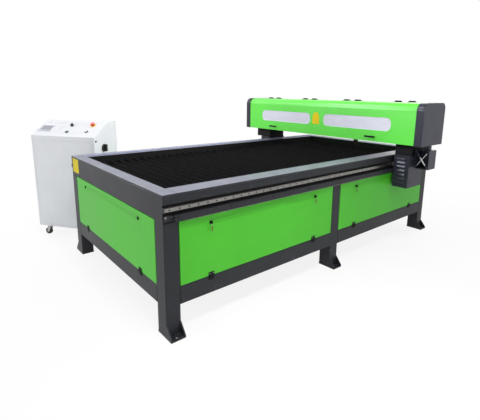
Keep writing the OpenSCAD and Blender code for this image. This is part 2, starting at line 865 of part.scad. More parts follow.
module motor_cover() {
    face = -cover_l / 2;
    louvre_x = plate_x + (cover_w - louvre_l) / 2;
    first = riser_z - louvre_top;
    difference() {
        translate([plate_x, face, cover_z]) cube([cover_w, cover_l, cover_h]);
        translate([plate_x - eps, face + sheet, cover_z + sheet])
            cube([cover_w - sheet + eps, cover_l - 2 * sheet, cover_h - 2 * sheet]);
        translate([plate_x - eps, -bracket_l / 2 - eps, riser_z - sheet - eps])
            cube([plate_t + 2 * eps, bracket_l + 2 * eps, sheet + 2 * eps]);
        for (i = [0:louvre_count - 1]) translate([louvre_x, face - eps, first - i * louvre_pitch - 15])
            cube([louvre_l, sheet + 2 * eps, 11]);
    }
    for (i = [0:louvre_count - 1]) translate([0, face, first - i * louvre_pitch])
        run_along_x(louvre_x, louvre_x + louvre_l) louvre_blade();
}

module motor_covers() {
    color(slate) at_gantry() both_sides() motor_cover();
}

// Open-fronted box with two crossed guard bars, hung on the right riser, and the strap up to the beam's pad
module drive_box() {
    x = plate_x + riser_right;
    top = cross_z - 52;
    wall = 3;
    bar_w = 12;
    mid_z = top - drive_box_h / 2;
    y0 = 5 - drive_box_l / 2;
    reach = norm([drive_box_w, drive_box_h]) - bar_w;
    color(slate) at_gantry() {
        difference() {
            translate([x, y0, top - drive_box_h]) cube([drive_box_w, drive_box_l, drive_box_h]);
            translate([x + wall, y0 - eps, top - drive_box_h + wall])
                cube([drive_box_w - 2 * wall, drive_box_l - wall, drive_box_h - 2 * wall]);
        }
        intersection() {
            translate([x, y0, top - drive_box_h]) cube([drive_box_w, wall, drive_box_h]);
            for (s = [-1, 1]) translate([x + drive_box_w / 2, y0, mid_z])
                rotate([0, s * atan(drive_box_h / drive_box_w), 0])
                    translate([-reach / 2, 0, -bar_w / 2]) cube([reach, wall, bar_w]);
        }
        translate([x + drive_box_w - 70, -20, top - eps]) cube([48, 40, cross_z - pad_t - top]);
    }
}

// Closed outline of the hood, drawn as (y, z)
module hood_outline(grow, open_below) {
    y0 = -hood_front - grow;
    y1 = hood_rear + grow;
    z0 = hood_z - grow - open_below;
    z1 = hood_top + grow;
    rf = hood_r + grow;
    rr = hood_rear_r + grow;
    translate([y0, z0]) square([y1 - y0, z1 - rf - z0]);
    translate([y0 + rf, z0]) square([y1 - y0 - rf, z1 - rr - z0]);
    translate([y0 + rf, z0]) square([y1 - y0 - rf - rr, z1 - z0]);
    translate([y0 + rf, z1 - rf]) circle(rf);
    translate([y1 - rr, z1 - rr]) circle(rr);
}

module end_caps() {
    color(slate) at_gantry() both_sides() difference() {
        run_along_x(cap_x, hood_l / 2) hood_outline(cap_wall, 0);
        run_along_x(cap_x - eps, hood_l / 2 - cap_wall) hood_outline(0, 0);
    }
}

// Sheet skin of the hood between two planes along the bed
module hood_skin(y0, y1) {
    intersection() {
        difference() {
            hood_outline(0, 0);
            hood_outline(-sheet, 2 * sheet);
        }
        translate([y0, hood_z]) square([y1 - y0, hood_h]);
    }
}

// Plate in the hood front's plane at both windows, grown by a border, between two depths
module at_windows(grow, y0, y1) {
    for (s = [-1, 1]) translate([s * window_x, y1 - hood_front, hood_z + window_z]) rotate([90, 0, 0])
        linear_extrude(y1 - y0) rounded_rect(window_l + 2 * grow, window_h + 2 * grow, window_r + grow);
}

module rear_cover() {
    color(lime) at_gantry() run_along_x(-cap_x, cap_x) hood_skin(hood_hinge_y + seam, hood_rear);
}

module hood() {
    color(lime) at_gantry() difference() {
        run_along_x(-cap_x + 0.5, cap_x - 0.5) {
            hood_skin(-hood_front, hood_hinge_y - seam);
            translate([-hood_front, hood_z]) square([hood_lip, sheet]);
        }
        at_windows(0, -eps, sheet + eps);
    }
}

// Panes fixed behind the window cut-outs
module hood_windows() {
    color([0.90, 0.91, 0.95]) at_gantry() at_windows(10, sheet, sheet + 3);
}

hood_hinge_pairs = floor(2 * (cap_x - hood_hinge_x) / hood_hinge_pitch) + 1;

function hood_hinges() = [for (i = [0:hood_hinge_pairs - 1]) for (s = [-0.5, 0.5])
    -cap_x + hood_hinge_x + i * hood_hinge_pitch + s * hood_hinge_gap];

module at_hood_hinges() {
    at_gantry() for (x = hood_hinges())
        translate([x, hood_hinge_y, hood_axis_z]) rotate([0, -90, 90]) scale(hood_hinge_scale) children();
}

module hood_hinge_bases() {
    color(black) at_hood_hinges() hinge_half_fixed();
}

// Bow grip standing out from the lower front of the hood
module grip() {
    for (s = [-1, 1]) translate([s * (grip_w / 2 - 5) - 5, -16, -6]) cube([10, 16, 12]);
    translate([-grip_w / 2, -24, -7]) cube([grip_w, 9, 14]);
}

module hood_fittings() {
    color(black) {
        at_hood_hinges() hinge_half_hung();
        at_gantry() for (s = [-1, 1])
            translate([s * (cap_x - grip_x), -hood_front, hood_z + grip_z]) grip();
    }
}

module cross_rails() {
    reach = hood_l / 2 - 90;
    color(steel) at_gantry() for (z = cross_rail_z) translate([0, cross_face, z])
        rotate([0, 0, -90]) run_along_y(-reach, reach) rail_outline(cross_rail_w, cross_rail_h, 0);
}

module cross_rack() {
    teeth = floor((hood_l / 2 - 120) / tooth_pitch);
    shift = round(cross_pinion_x / tooth_pitch);
    color(steel) at_gantry() translate([cross_pinion_x, cross_face, cross_tip_z + gear_module])
        rotate([90, 0, 0]) linear_extrude(rack_w) polygon(rack_outline(-teeth - shift, teeth - shift, 16));
}

module drive_pinion() {
    translate([0, 0, pinion_z]) {
        translate([rack_x + 1, 0, 0]) rotate([90, 0, 90]) pinion_gear(pinion_w);
        rod_x(shaft_d, rack_x + 1, plate_x + plate_t + 29);
    }
}

module right_pinion() {
    color(steel) at_gantry() drive_pinion();
}

module left_pinion() {
    color(steel) at_gantry() mirror([1, 0, 0]) drive_pinion();
}

// Carriage and cutting head

module carriage_plate() {
    shelf_t = 12;
    shelf_y = slide_y - 8;
    width = carriage_x[1] - carriage_x[0];
    color(charcoal) at_gantry() difference() {
        union() {
            translate([carriage_x[0], carriage_y, carriage_z]) cube([width, carriage_t, carriage_h]);
            translate([head_x - slide_w / 2, shelf_y, carriage_z + carriage_h - shelf_t])
                cube([slide_w, carriage_y - shelf_y + eps, shelf_t]);
            translate([head_x - key_w / 2, carriage_y - key_t, carriage_z + 5])
                cube([key_w, key_t + eps, carriage_h - 10]);
        }
        translate([cross_pinion_x, carriage_y, cross_pinion_z]) rod_y(shaft_d + 6, -eps, carriage_t + eps);
    }
}

module carriage_blocks() {
    xs = [carriage_x[0] + cross_block_l / 2, carriage_x[1] - cross_block_l / 2];
    color(steel) at_gantry() for (x = xs)
        for (z = cross_rail_z) translate([x, cross_face, z]) rotate([0, 0, -90]) difference() {
            translate([4, -cross_block_l / 2, -cross_block_w / 2])
                cube([cross_block_h - 4, cross_block_l, cross_block_w]);
            run_along_y(-cross_block_l, cross_block_l) rail_outline(cross_rail_w, cross_rail_h, rail_gap);
        }
}

module carriage_motors() {
    w = small_motor_w;
    color(black) at_gantry() {
        difference() {
            translate([cross_pinion_x - w / 2, carriage_y - 100, cross_pinion_z - w / 2]) cube([w, 100, w]);
            translate([cross_pinion_x, 0, cross_pinion_z])
                rod_y(shaft_d + 2 * run_fit, carriage_y - 31, carriage_y + eps);
        }
        translate([head_x - w / 2, slide_y - 6, carriage_z + carriage_h]) cube([w, w, 70]);
    }
}

module cross_pinion() {
    color(steel) at_gantry() translate([cross_pinion_x, 0, cross_pinion_z]) {
        translate([0, cross_face - 1, 0]) rotate([90, 0, 0]) pinion_gear(pinion_w);
        rod_y(shaft_d, carriage_y - 30, cross_face - 1);
    }
}

module head_slide() {
    color(charcoal) at_gantry() difference() {
        translate([head_x - slide_w / 2, slide_y, slide_z]) cube([slide_w, slide_t, slide_h]);
        translate([head_x - key_w / 2 - slide_gap, carriage_y - key_t - slide_gap, slide_z - eps])
            cube([key_w + 2 * slide_gap, key_t + slide_gap, slide_h + 2 * eps]);
    }
}

module cutting_head() {
    color(charcoal) at_gantry() translate([head_x, head_y, head_z]) {
        translate([-head_w / 2, -head_w / 2, 0]) cube([head_w, head_w, head_h]);
        translate([0, 0, head_h - eps]) cylinder(d = head_w * 0.7, h = 80);
        translate([0, 0, head_h + 78]) cylinder(d = head_w * 0.4, h = 22);
        translate([0, 0, -35]) cylinder(d = head_w * 0.78, h = 35 + eps);
    }
}

module nozzle() {
    color([0.72, 0.45, 0.25]) at_gantry() translate([head_x, head_y, tip_z0]) rotate_extrude()
        polygon([[1, 0], [5, 0], [8, 8], [8, 12], [15, 12], [15, 18], [20, nozzle_l], [1, nozzle_l]]);
}

// Console

module at_console() {
    translate([console_x, console_y, 0]) rotate([0, 0, console_turn]) children();
}

// Frame on the sloping desk: x across, y up the slope, z out of it
module on_slope(place) {
    at_console() translate([0, 0, console_front_h]) rotate([slope_deg, 0, 0])
        translate([place.x * console_w, place.y * slope_l, 0]) children();
}

module console_casing() {
    slope_t = 4;
    rise = slope_rise / slope_run;
    color(off_white) difference() {
        at_console() difference() {
            run_along_x(-console_w / 2, console_w / 2)
                polygon([[0, caster_h], [console_d, caster_h], [console_d, console_h],
                    [slope_run, console_h], [0, console_front_h]]);
            run_along_x(-console_w / 2 + console_t, console_w / 2 - console_t)
                polygon([[console_t, caster_h + console_t], [console_d - console_t, caster_h + console_t],
                    [console_d - console_t, console_h - slope_t], [slope_run, console_h - slope_t],
                    [console_t, console_front_h + console_t * rise - slope_t]]);
            translate([-console_w / 2 + front_border, -eps, front_z])
                cube([console_w - 2 * front_border, console_t + 2 * eps, front_top - front_z]);
            for (x = caster_xs) translate([x, caster_ys[0], caster_h - eps])
                cylinder(d = swivel_d + 2 * run_fit, h = console_t + 2 * eps);
            translate([0, switch_y, switch_z])
                rod_x(swivel_d + 2 * run_fit, console_w / 2 - console_t - eps, console_w / 2 + eps);
        }
        for (place = button_places) on_slope(place)
            translate([0, 0, -10]) cylinder(d = button_d + 0.4, h = 20);
    }
}

module console_front() {
    gap = 0.5;
    w = console_w - 2 * front_border - 2 * gap;
    h = front_top - front_z - 2 * gap;
    color(off_white) at_console() translate([0, 0, front_z + gap]) pan(w, h);
}

module display() {
    w = 130;
    h = 86;
    color([0.62, 0.62, 0.66]) on_slope([-0.36, 0.45]) difference() {
        translate([-w / 2, -h / 2, 0]) cube([w, h, 6]);
        translate([-w / 2 + 8, -h / 2 + 8, 4]) cube([w - 16, h - 16, 6]);
    }
}

module button_collars() {
    color(black) for (place = button_places) on_slope(place) difference() {
        union() {
            cylinder(d = collar_d, h = collar_h);
            translate([0, 0, -barrel_l]) cylinder(d = button_d, h = barrel_l + eps);
        }
        translate([0, 0, -barrel_l - eps])
            cylinder(d = plunger_d + 2 * run_fit, h = barrel_l + collar_h + 2 * eps);
    }
}

module plunger(top) {
    translate([0, 0, -14]) cylinder(d = plunger_d, h = 14 + top);
}

module emergency_stop() {
    color([0.80, 0.08, 0.06]) on_slope(button_places[2]) {
        plunger(14);
        translate([0, 0, 13]) cylinder(d1 = 38, d2 = 36, h = 10);
    }
}

module selector_switch() {
    color(black) on_slope(button_places[0]) {
        plunger(9);
        translate([0, 0, collar_h + 0.3]) cylinder(d = collar_d - 4, h = 6);
        translate([-4, -collar_d / 2 + 2, collar_h + 6]) cube([8, collar_d - 4, 12]);
    }
}

module start_button() {
    color([0.10, 0.45, 0.18]) on_slope(button_places[1]) plunger(10);
}

module stop_button() {
    color([0.65, 0.12, 0.10]) on_slope(button_places[3]) plunger(10);
}

module main_switch() {
    color(black) at_console() translate([console_w / 2, switch_y, switch_z]) {
        rod_x(swivel_d, -console_t - 6, 2);
        rod_x(66, 0.3, 14);
        translate([13, -8, -31]) cube([20, 16, 62]);
    }
}

// Fork round its swivel axis, with the wheel trailing towards -x
module fork(top) {
    side = wheel_w / 2 + 2;
    axle_z = wheel_d / 2;
    translate([0, 0, fork_top]) cylinder(d = 2 * side + 18, h = top - fork_top);
    for (y = [-side - fork_t, side]) run_along_y(y, y + fork_t)
        polygon([[18, fork_top + 2], [-20, fork_top + 2], [-caster_trail - 10, axle_z - 8],
            [10 - caster_trail, axle_z - 8]]);
    translate([-caster_trail, 0, axle_z]) rod_y(axle_d, -side - fork_t, side + fork_t);
}

module swivel_fork(x) {
    color(black) at_console() translate([x, caster_ys[0], 0]) {
        fork(caster_h - swivel_gap);
        translate([0, 0, fork_top]) cylinder(d = swivel_d, h = caster_h + console_t - fork_top);
    }
}

module left_caster_fork() {
    swivel_fork(caster_xs[0]);
}

module right_caster_fork() {
    swivel_fork(caster_xs[1]);
}

module rear_caster_forks() {
    color(black) at_console() for (x = caster_xs) translate([x, caster_ys[1], 0]) fork(caster_h);
}

module wheel(x, y) {
    r = wheel_d / 2;
    h = wheel_w / 2;
    bore = axle_d / 2 + run_fit;
    half = [[12, h], [14, h - 3], [r - 8, h - 3], [r - 5, h], [r - 2, h], [r, h - 3]];
    mirrored = [for (i = [len(half) - 1:-1:0]) [half[i].x, -half[i].y]];
    color(black) at_console() translate([x - caster_trail, y, r]) rotate([90, 0, 0])
        rotate_extrude() polygon(concat([[bore, -h], [bore, h]], half, mirrored));
}

module front_left_wheel() {
    wheel(caster_xs[0], caster_ys[0]);
}

module front_right_wheel() {
    wheel(caster_xs[1], caster_ys[0]);
}

module rear_left_wheel() {
    wheel(caster_xs[0], caster_ys[1]);
}

module rear_right_wheel() {
    wheel(caster_xs[1], caster_ys[1]);
}

legs();
lower_rails();
side_beams();
end_beams();
rack_ledges();
top_rim();
inner_walls();
slats();
slat_combs();
scrap_trays();
fixed_panels();
guide_rails();
gear_racks();
end_buffers();
hinge_bases();
end_door();
end_door_fittings();
near_side_door();
near_side_door_fittings();
far_side_door();
far_side_door_fittings();
cross_beam();
gantry_brackets();
guide_blocks();
drive_motors();
motor_covers();
drive_box();
end_caps();
rear_cover();
cross_rails();
cross_rack();
hood_hinge_bases();
right_pinion();
left_pinion();
hood();
hood_windows();
hood_fittings();
carriage_plate();
carriage_blocks();
carriage_motors();
cross_pinion();
head_slide();
cutting_head();
nozzle();
console_casing();
console_front();
display();
button_collars();
emergency_stop();
selector_switch();
start_button();
stop_button();
main_switch();
left_caster_fork();
right_caster_fork();
rear_caster_forks();
front_left_wheel();
front_right_wheel();
rear_left_wheel();
rear_right_wheel();
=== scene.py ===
"""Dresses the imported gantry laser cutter.

Finishes for its solids, fastenings, plain patches, key tags and a white studio.
"""

from __future__ import annotations

import json
import logging
import math
from dataclasses import dataclass, field
from enum import Enum
from typing import Callable, Dict, Iterable, List, Mapping, Optional, Sequence, Tuple, Union

import bmesh
import bpy
from mathutils import Matrix, Vector

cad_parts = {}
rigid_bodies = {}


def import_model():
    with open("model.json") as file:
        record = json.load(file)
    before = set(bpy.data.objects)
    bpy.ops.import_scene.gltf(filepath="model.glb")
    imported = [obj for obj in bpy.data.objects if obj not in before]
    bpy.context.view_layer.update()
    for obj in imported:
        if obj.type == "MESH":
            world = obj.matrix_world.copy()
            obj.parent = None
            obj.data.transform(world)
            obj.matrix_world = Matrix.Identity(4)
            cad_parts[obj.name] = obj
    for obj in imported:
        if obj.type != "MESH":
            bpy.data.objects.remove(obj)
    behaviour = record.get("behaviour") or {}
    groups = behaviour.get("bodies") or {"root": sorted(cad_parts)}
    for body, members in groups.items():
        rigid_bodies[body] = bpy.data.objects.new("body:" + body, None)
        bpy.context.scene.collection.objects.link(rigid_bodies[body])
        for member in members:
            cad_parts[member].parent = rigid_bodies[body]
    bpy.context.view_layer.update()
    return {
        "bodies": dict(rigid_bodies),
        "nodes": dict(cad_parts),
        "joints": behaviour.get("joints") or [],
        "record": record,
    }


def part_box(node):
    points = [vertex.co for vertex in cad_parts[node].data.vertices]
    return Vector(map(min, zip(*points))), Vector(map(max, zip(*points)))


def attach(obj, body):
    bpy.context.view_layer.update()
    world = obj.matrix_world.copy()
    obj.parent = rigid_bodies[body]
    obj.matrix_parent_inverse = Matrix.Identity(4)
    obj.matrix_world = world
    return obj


LOG = logging.getLogger("laser_cutter")
MM = 0.001

Triple = Tuple[float, float, float]
Colour = Triple
Point = Tuple[float, float]
Value = Union["Sock", float, int]

EVEN: Triple = (1.0, 1.0, 1.0)
WHITE = (1.0, 1.0, 1.0, 1.0)
FLOOR_GREY = (0.86, 0.86, 0.86, 1.0)
UP = Vector((0.0, 0.0, 1.0)).freeze()
BOTH_SIDES = (1.0, -1.0)
DOUBLE_GAP = 1e-6
WELD_GAP = 1e-5
SHARP_ANGLE = math.radians(32.0)
BEVEL_ANGLE = math.radians(40.0)
BEVEL_STEPS = 2
PATCH_PLATE: Point = (0.5 * MM, 0.1 * MM)


def linear(colour: Colour) -> Tuple[float, float, float, float]:
    """Turns a screen colour into the scene's linear light.

    Args:
        colour: Red, green and blue from 0 to 255.

    Returns:
        Linear red, green, blue and an alpha of one.
    """
    shares = [part / 255.0 for part in colour]
    r, g, b = (s / 12.92 if s <= 0.04045 else ((s + 0.055) / 1.055) ** 2.4 for s in shares)
    return (r, g, b, 1.0)


def shade(colour: Colour, factor: float) -> Colour:
    """Lightens or darkens a screen colour.

    Args:
        colour: Red, green and blue from 0 to 255.
        factor: What each part is multiplied by.

    Returns:
        The new colour, kept inside the range.
    """
    r, g, b = (min(255.0, part * factor) for part in colour)
    return (r, g, b)


class Sock:
    """A shader socket that adds Math nodes when it is used in arithmetic."""

    def __init__(self, shader: "Shader", socket: bpy.types.NodeSocket) -> None:
        """Wraps a socket of a shader's tree."""
        self.shader = shader
        self.socket = socket

    def _math(self, operation: str, first: Value, second: Value) -> "Sock":
        """Adds one Math node on two values."""
        return self.shader.node("ShaderNodeMath", {"operation": operation}, {0: first, 1: second})

    def __add__(self, other: Value) -> "Sock":
        """Adds a value."""
        return self._math("ADD", self, other)

    def __radd__(self, other: Value) -> "Sock":
        """Adds to a value."""
        return self._math("ADD", other, self)

    def __sub__(self, other: Value) -> "Sock":
        """Takes a value away."""
        return self._math("SUBTRACT", self, other)

    def __rsub__(self, other: Value) -> "Sock":
        """Is taken away from a value."""
        return self._math("SUBTRACT", other, self)

    def __mul__(self, other: Value) -> "Sock":
        """Multiplies by a value."""
        return self._math("MULTIPLY", self, other)

    def __rmul__(self, other: Value) -> "Sock":
        """Multiplies a value."""
        return self._math("MULTIPLY", other, self)

    def maximum(self, other: Value) -> "Sock":
        """Takes the larger of itself and a value."""
        return self._math("MAXIMUM", self, other)

    def band(self, low: float, high: float) -> "Sock":
        """Spreads the stretch between two levels over zero to one.

        Args:
            low: Level that becomes zero.
            high: Level that becomes one.

        Returns:
            The clamped share.
        """
        return self.shader.node(
            "ShaderNodeMapRange",
            {"clamp": True},
            {"Value": self, "From Min": low, "From Max": high, "To Min": 0.0, "To Max": 1.0},
        )


class Shader:
    """Node tree of one material or world."""

    def __init__(self, owner: Union[bpy.types.Material, bpy.types.World]) -> None:
        """Starts an empty tree.

        Args:
            owner: The material or world it is for.
        """
        self.owner = owner
        self.owner.use_nodes = True
        self.tree = self.owner.node_tree
        self.tree.nodes.clear()

    def node(
        self,
        kind: str,
        settings: Optional[Mapping[str, object]] = None,
        inputs: Optional[Mapping[Union[str, int], object]] = None,
        output: Union[str, int] = 0,
    ) -> Sock:
        """Adds a node of any type.

        Args:
            kind: Blender's name of the node type.
            settings: Properties of the node, set first.
            inputs: Values or links of its sockets, by name or number.
            output: Which output socket to hand back.

        Returns:
            The wrapped output socket.
        """
        made = self.tree.nodes.new(kind)
        for key, value in (settings or {}).items():
            setattr(made, key, value)
        for key, value in (inputs or {}).items():
            if isinstance(value, Sock):
                self.tree.links.new(value.socket, made.inputs[key])
            else:
                made.inputs[key].default_value = value
        if not made.outputs:
            return Sock(self, made.inputs[0])
        return Sock(self, made.outputs[output])

    def place(self, stretch: Triple = EVEN) -> Sock:
        """Gives the surface point in metres, stretched along the axes.

        Args:
            stretch: Scale along X, Y and Z.

        Returns:
            The vector to feed a texture with.
        """
        point = self.node("ShaderNodeTexCoord", output="Object")
        return self.node("ShaderNodeMapping", {}, {"Vector": point, "Scale": stretch})

    def noise(self, scale: float, detail: float = 3.0, stretch: Triple = EVEN) -> Sock:
        """Adds cloudy noise.

        Args:
            scale: Clouds per metre.
            detail: Octaves of finer clouds.
            stretch: Scale along X, Y and Z.

        Returns:
            The noise value, about zero to one.
        """
        return self.node(
            "ShaderNodeTexNoise",
            {},
            {"Vector": self.place(stretch), "Scale": scale, "Detail": detail, "Roughness": 0.55},
        )

    def mix(self, share: Value, first: object, second: object) -> Sock:
        """Mixes two colours.

        Args:
            share: How much of the second colour shows.
            first: Colour or socket at zero.
            second: Colour or socket at one.

        Returns:
            The mixed colour.
        """
        return self.node("ShaderNodeMix", {"data_type": "RGBA"}, {0: share, 6: first, 7: second}, output=2)

    def bump(self, height: Sock, strength: float, depth: float) -> Sock:
        """Adds a bump to feed a normal with.

        Args:
            height: Height share of the surface.
            strength: How strongly it shows.
            depth: Height in metres at one.

        Returns:
            The bent normal.
        """
        return self.node("ShaderNodeBump", {}, {"Strength": strength, "Distance": depth, "Height": height})

    def surface(self, **inputs: object) -> bpy.types.Material:
        """Ends the tree in one shader.

        Args:
            **inputs: Principled sockets, with spaces written as underscores.

        Returns:
            The finished material.
        """
        sockets = {key.replace("_", " "): value for key, value in inputs.items()}
        shader = self.node("ShaderNodeBsdfPrincipled", {}, sockets)
        self.node("ShaderNodeOutputMaterial", {}, {"Surface": shader})
        return self.owner

    def seen(self) -> Sock:
        """Tells the rays that look at the studio from those that it lights.

        Returns:
            One on camera, glossy and transmission rays, and zero on others.
        """
        share = self.node("ShaderNodeLightPath", output="Is Camera Ray")
        for kind in ("Is Glossy Ray", "Is Transmission Ray"):
            share = share.maximum(self.node("ShaderNodeLightPath", output=kind))
        return share


SCUFF_GREY: Colour = (170.0, 170.0, 172.0)
NICK_GREY: Colour = (112.0, 110.0, 108.0)
DUST_GREY: Colour = (120.0, 124.0, 130.0)


class Grain(Enum):
    """How a finish was made, which decides its small-scale look."""

    POWDER = "powder coat"
    GLOSS = "smooth gloss coat"
    # Its upright faces carry painted shade outside and a painted highlight inside.
    CAPPED = "smooth coat on the tops, sooted outer edges"
    GROUND = "ground steel"
    SCORCHED = "scorched steel"
    MOULDED = "moulded plastic"
    FILM = "clear film over white"
    GLASS = "dark glass"


@dataclass(frozen=True)
class Finish:
    """One finish of the machine."""

    name: str
    colour: Colour
    roughness: float
    grain: Grain
    metallic: float = 0.0
    coat: float = 0.0
    specular: float = 0.5
    along: Triple = EVEN
    # Colour painted on faces that look up, as a painted highlight.
    painted_top_highlight: Optional[Colour] = None

    def material(self) -> bpy.types.Material:
        """Builds the finish's material.

        Returns:
            A material with its own node tree.
        """
        makers: Dict[Grain, Callable[[Shader], bpy.types.Material]] = {
            Grain.POWDER: self._powder,
            Grain.GLOSS: self._gloss,
            Grain.CAPPED: self._capped,
            Grain.GROUND: self._ground,
            Grain.SCORCHED: self._scorched,
            Grain.MOULDED: self._moulded,
            Grain.FILM: self._film,
            Grain.GLASS: self._glass,
        }
        return makers[self.grain](Shader(bpy.data.materials.new(self.name)))

    def _powder(self, shader: Shader) -> bpy.types.Material:
        """Fine orange-peel coat with faint clouds and scuffs; a painted highlight colour can lighten faces
        that look up.

        Args:
            shader: The material's nodes.

        Returns:
            The finished material.
        """
        clouds = shader.noise(2.5, detail=4.0).band(0.35, 0.7)
        scuffs = shader.noise(38.0, detail=6.0, stretch=(1.0, 0.25, 1.0)).band(0.62, 0.78)
        peel = shader.noise(1400.0, detail=1.0)
        tint = shader.mix(clouds, linear(shade(self.colour, 0.98)), linear(shade(self.colour, 1.02)))
        worn = shader.mix(scuffs * 0.07, tint, linear(SCUFF_GREY))
        roughness = self.roughness + clouds * 0.08 + scuffs * 0.1
        # Faces that look up take a paler grey: a painted highlight.
        if self.painted_top_highlight is not None:
            upward = self._upward(shader)
            worn = shader.mix(upward, worn, linear(self.painted_top_highlight))
            roughness = roughness - upward * 0.14
        return shader.surface(
            Base_Color=worn,
            Roughness=roughness,
            Normal=shader.bump(peel, strength=0.12, depth=0.0004),
            Specular_IOR_Level=self.specular,
            Coat_Weight=self.coat,
            Coat_Roughness=0.34,
        )

    def _gloss(self, shader: Shader) -> bpy.types.Material:
        """Smooth coat with hand smudges and a long ripple.

        Args:
            shader: The material's nodes.

        Returns:
            The finished material.
        """
        smudges = shader.noise(7.0, detail=5.0).band(0.4, 0.72)
        ripple = shader.noise(26.0, detail=2.0)
        tint = shader.mix(smudges, linear(self.colour), linear(shade(self.colour, 0.96)))
        return shader.surface(
            Base_Color=tint,
            Metallic=self.metallic,
            Roughness=self.roughness + smudges * 0.06,
            Normal=shader.bump(ripple, strength=0.01, depth=0.001),
            Specular_IOR_Level=self.specular,
            Coat_Weight=self.coat,
            Coat_Roughness=0.16,
        )

    @staticmethod
    def _upward(shader: Shader) -> Sock:
        """Gives 1 on faces that look up and 0 on upright ones.

        Args:
            shader: The material's nodes.

        Returns:
            The mask.
        """
        normal = shader.node("ShaderNodeTexCoord", output="Normal")
        return shader.node("ShaderNodeSeparateXYZ", {}, {"Vector": normal}, "Z").band(0.3, 0.8)

    def _capped(self, shader: Shader) -> bpy.types.Material:
        """Smooth coat on faces that look up, painted shade on outer upright faces and a painted highlight
        on inner ones.

        Args:
            shader: The material's nodes.

        Returns:
            The finished material.
        """
        upright = 1.0 - self._upward(shader)
        normal = shader.node("ShaderNodeTexCoord", output="Normal")
        reach = {0: normal, 1: shader.place()}
        away = shader.node("ShaderNodeVectorMath", {"operation": "DOT_PRODUCT"}, reach, "Value")
        outward = away.band(-0.1, 0.1)
        # Outer upright faces are darkened as painted shade, inner ones lightened as a painted highlight.
        edge = shader.mix(outward, linear(shade(self.colour, 1.7)), linear(shade(self.colour, 0.28)))
        smudges = shader.noise(7.0, detail=5.0).band(0.4, 0.72)
        tint = shader.mix(smudges, linear(self.colour), linear(shade(self.colour, 0.94)))
        return shader.surface(
            Base_Color=shader.mix(upright, tint, edge),
            Roughness=self.roughness + smudges * 0.08 + upright * 0.3,
            Normal=shader.bump(shader.noise(26.0, detail=2.0), strength=0.01, depth=0.001),
            Specular_IOR_Level=self.specular,
        )

    def _ground(self, shader: Shader) -> bpy.types.Material:
        """Grinding streaks along one axis with an oil haze.

        Args:
            shader: The material's nodes.

        Returns:
            The finished material.
        """
        streaks = shader.noise(60.0, detail=6.0, stretch=self.along)
        haze = shader.noise(5.0).band(0.4, 0.7)
        tint = shader.mix(streaks, linear(shade(self.colour, 0.78)), linear(shade(self.colour, 1.12)))
        oiled = shader.mix(haze * 0.25, tint, linear(shade(self.colour, 0.6)))
        return shader.surface(
            Base_Color=oiled,
            Metallic=self.metallic,
            Roughness=self.roughness + streaks * 0.18,
            Normal=shader.bump(streaks, strength=0.06, depth=0.0004),
        )

    def _scorched(self, shader: Shader) -> bpy.types.Material:
        """Blackened steel with burnt brown patches and bright nicks.

        Args:
            shader: The material's nodes.

        Returns:
            The finished material.
        """
        burns = shader.noise(9.0, detail=5.0).band(0.42, 0.68)
        nicks = shader.noise(160.0, detail=4.0).band(0.66, 0.76)
        grit = shader.noise(420.0, detail=4.0)
        brown = linear((self.colour[0] * 1.6, self.colour[1] * 1.35, self.colour[2] * 1.15))
        burnt = shader.mix(burns, linear(self.colour), brown)
        nicked = shader.mix(nicks * 0.35, burnt, linear(NICK_GREY))
        return shader.surface(
            Base_Color=nicked,
            Metallic=self.metallic,
            Roughness=self.roughness + burns * 0.15,
            Normal=shader.bump(grit, strength=0.3, depth=0.0006),
            Specular_IOR_Level=self.specular,
        )

    def _moulded(self, shader: Shader) -> bpy.types.Material:
        """Spark-eroded plastic or rubber texture.

        Args:
            shader: The material's nodes.

        Returns:
            The finished material.
        """
        texture = shader.noise(900.0, detail=2.0)
        patches = shader.noise(14.0).band(0.4, 0.7)
        tint = shader.mix(patches, linear(self.colour), linear(shade(self.colour, 1.12)))
        return shader.surface(
            Base_Color=tint,
            Roughness=self.roughness + patches * 0.08,
            Normal=shader.bump(texture, strength=0.15, depth=0.0003),
            Coat_Weight=self.coat,
        )

    def _film(self, shader: Shader) -> bpy.types.Material:
        """Pale window sheet with a rippled protective film.

        Args:
            shader: The material's nodes.

        Returns:
            The finished material.
        """
        ripples = shader.noise(16.0, stretch=(1.0, 1.0, 2.4))
        sheen = shader.noise(4.0, detail=2.0, stretch=(1.0, 1.0, 3.0)).band(0.35, 0.65)
        tint = shader.mix(sheen, linear(self.colour), linear(shade(self.colour, 0.95)))
        return shader.surface(
            Base_Color=tint,
            Roughness=self.roughness + sheen * 0.1,
            Normal=shader.bump(ripples, strength=0.12, depth=0.002),
            Coat_Weight=self.coat,
            Coat_Roughness=0.05,
        )

    def _glass(self, shader: Shader) -> bpy.types.Material:
        """Dark screen under glass with faint dust.

        Args:
            shader: The material's nodes.

        Returns:
            The finished material.
        """
        dust = shader.noise(240.0).band(0.6, 0.8)
        tint = shader.mix(dust * 0.2, linear(self.colour), linear(DUST_GREY))
        return shader.surface(
            Base_Color=tint,
            Roughness=self.roughness + dust * 0.2,
            Specular_IOR_Level=self.specular,
            Coat_Weight=self.coat,
            Coat_Roughness=0.03,
        )


ALONG_BED: Triple = (8.0, 0.12, 8.0)
ACROSS_BED: Triple = (0.12, 8.0, 8.0)
FRAME_CHARCOAL: Colour = (39.0, 40.0, 44.0)
# Paler grey painted on the beams' up-facing faces: a painted highlight.
PAINTED_TOP_HIGHLIGHT_GREY: Colour = (96.0, 99.0, 117.0)


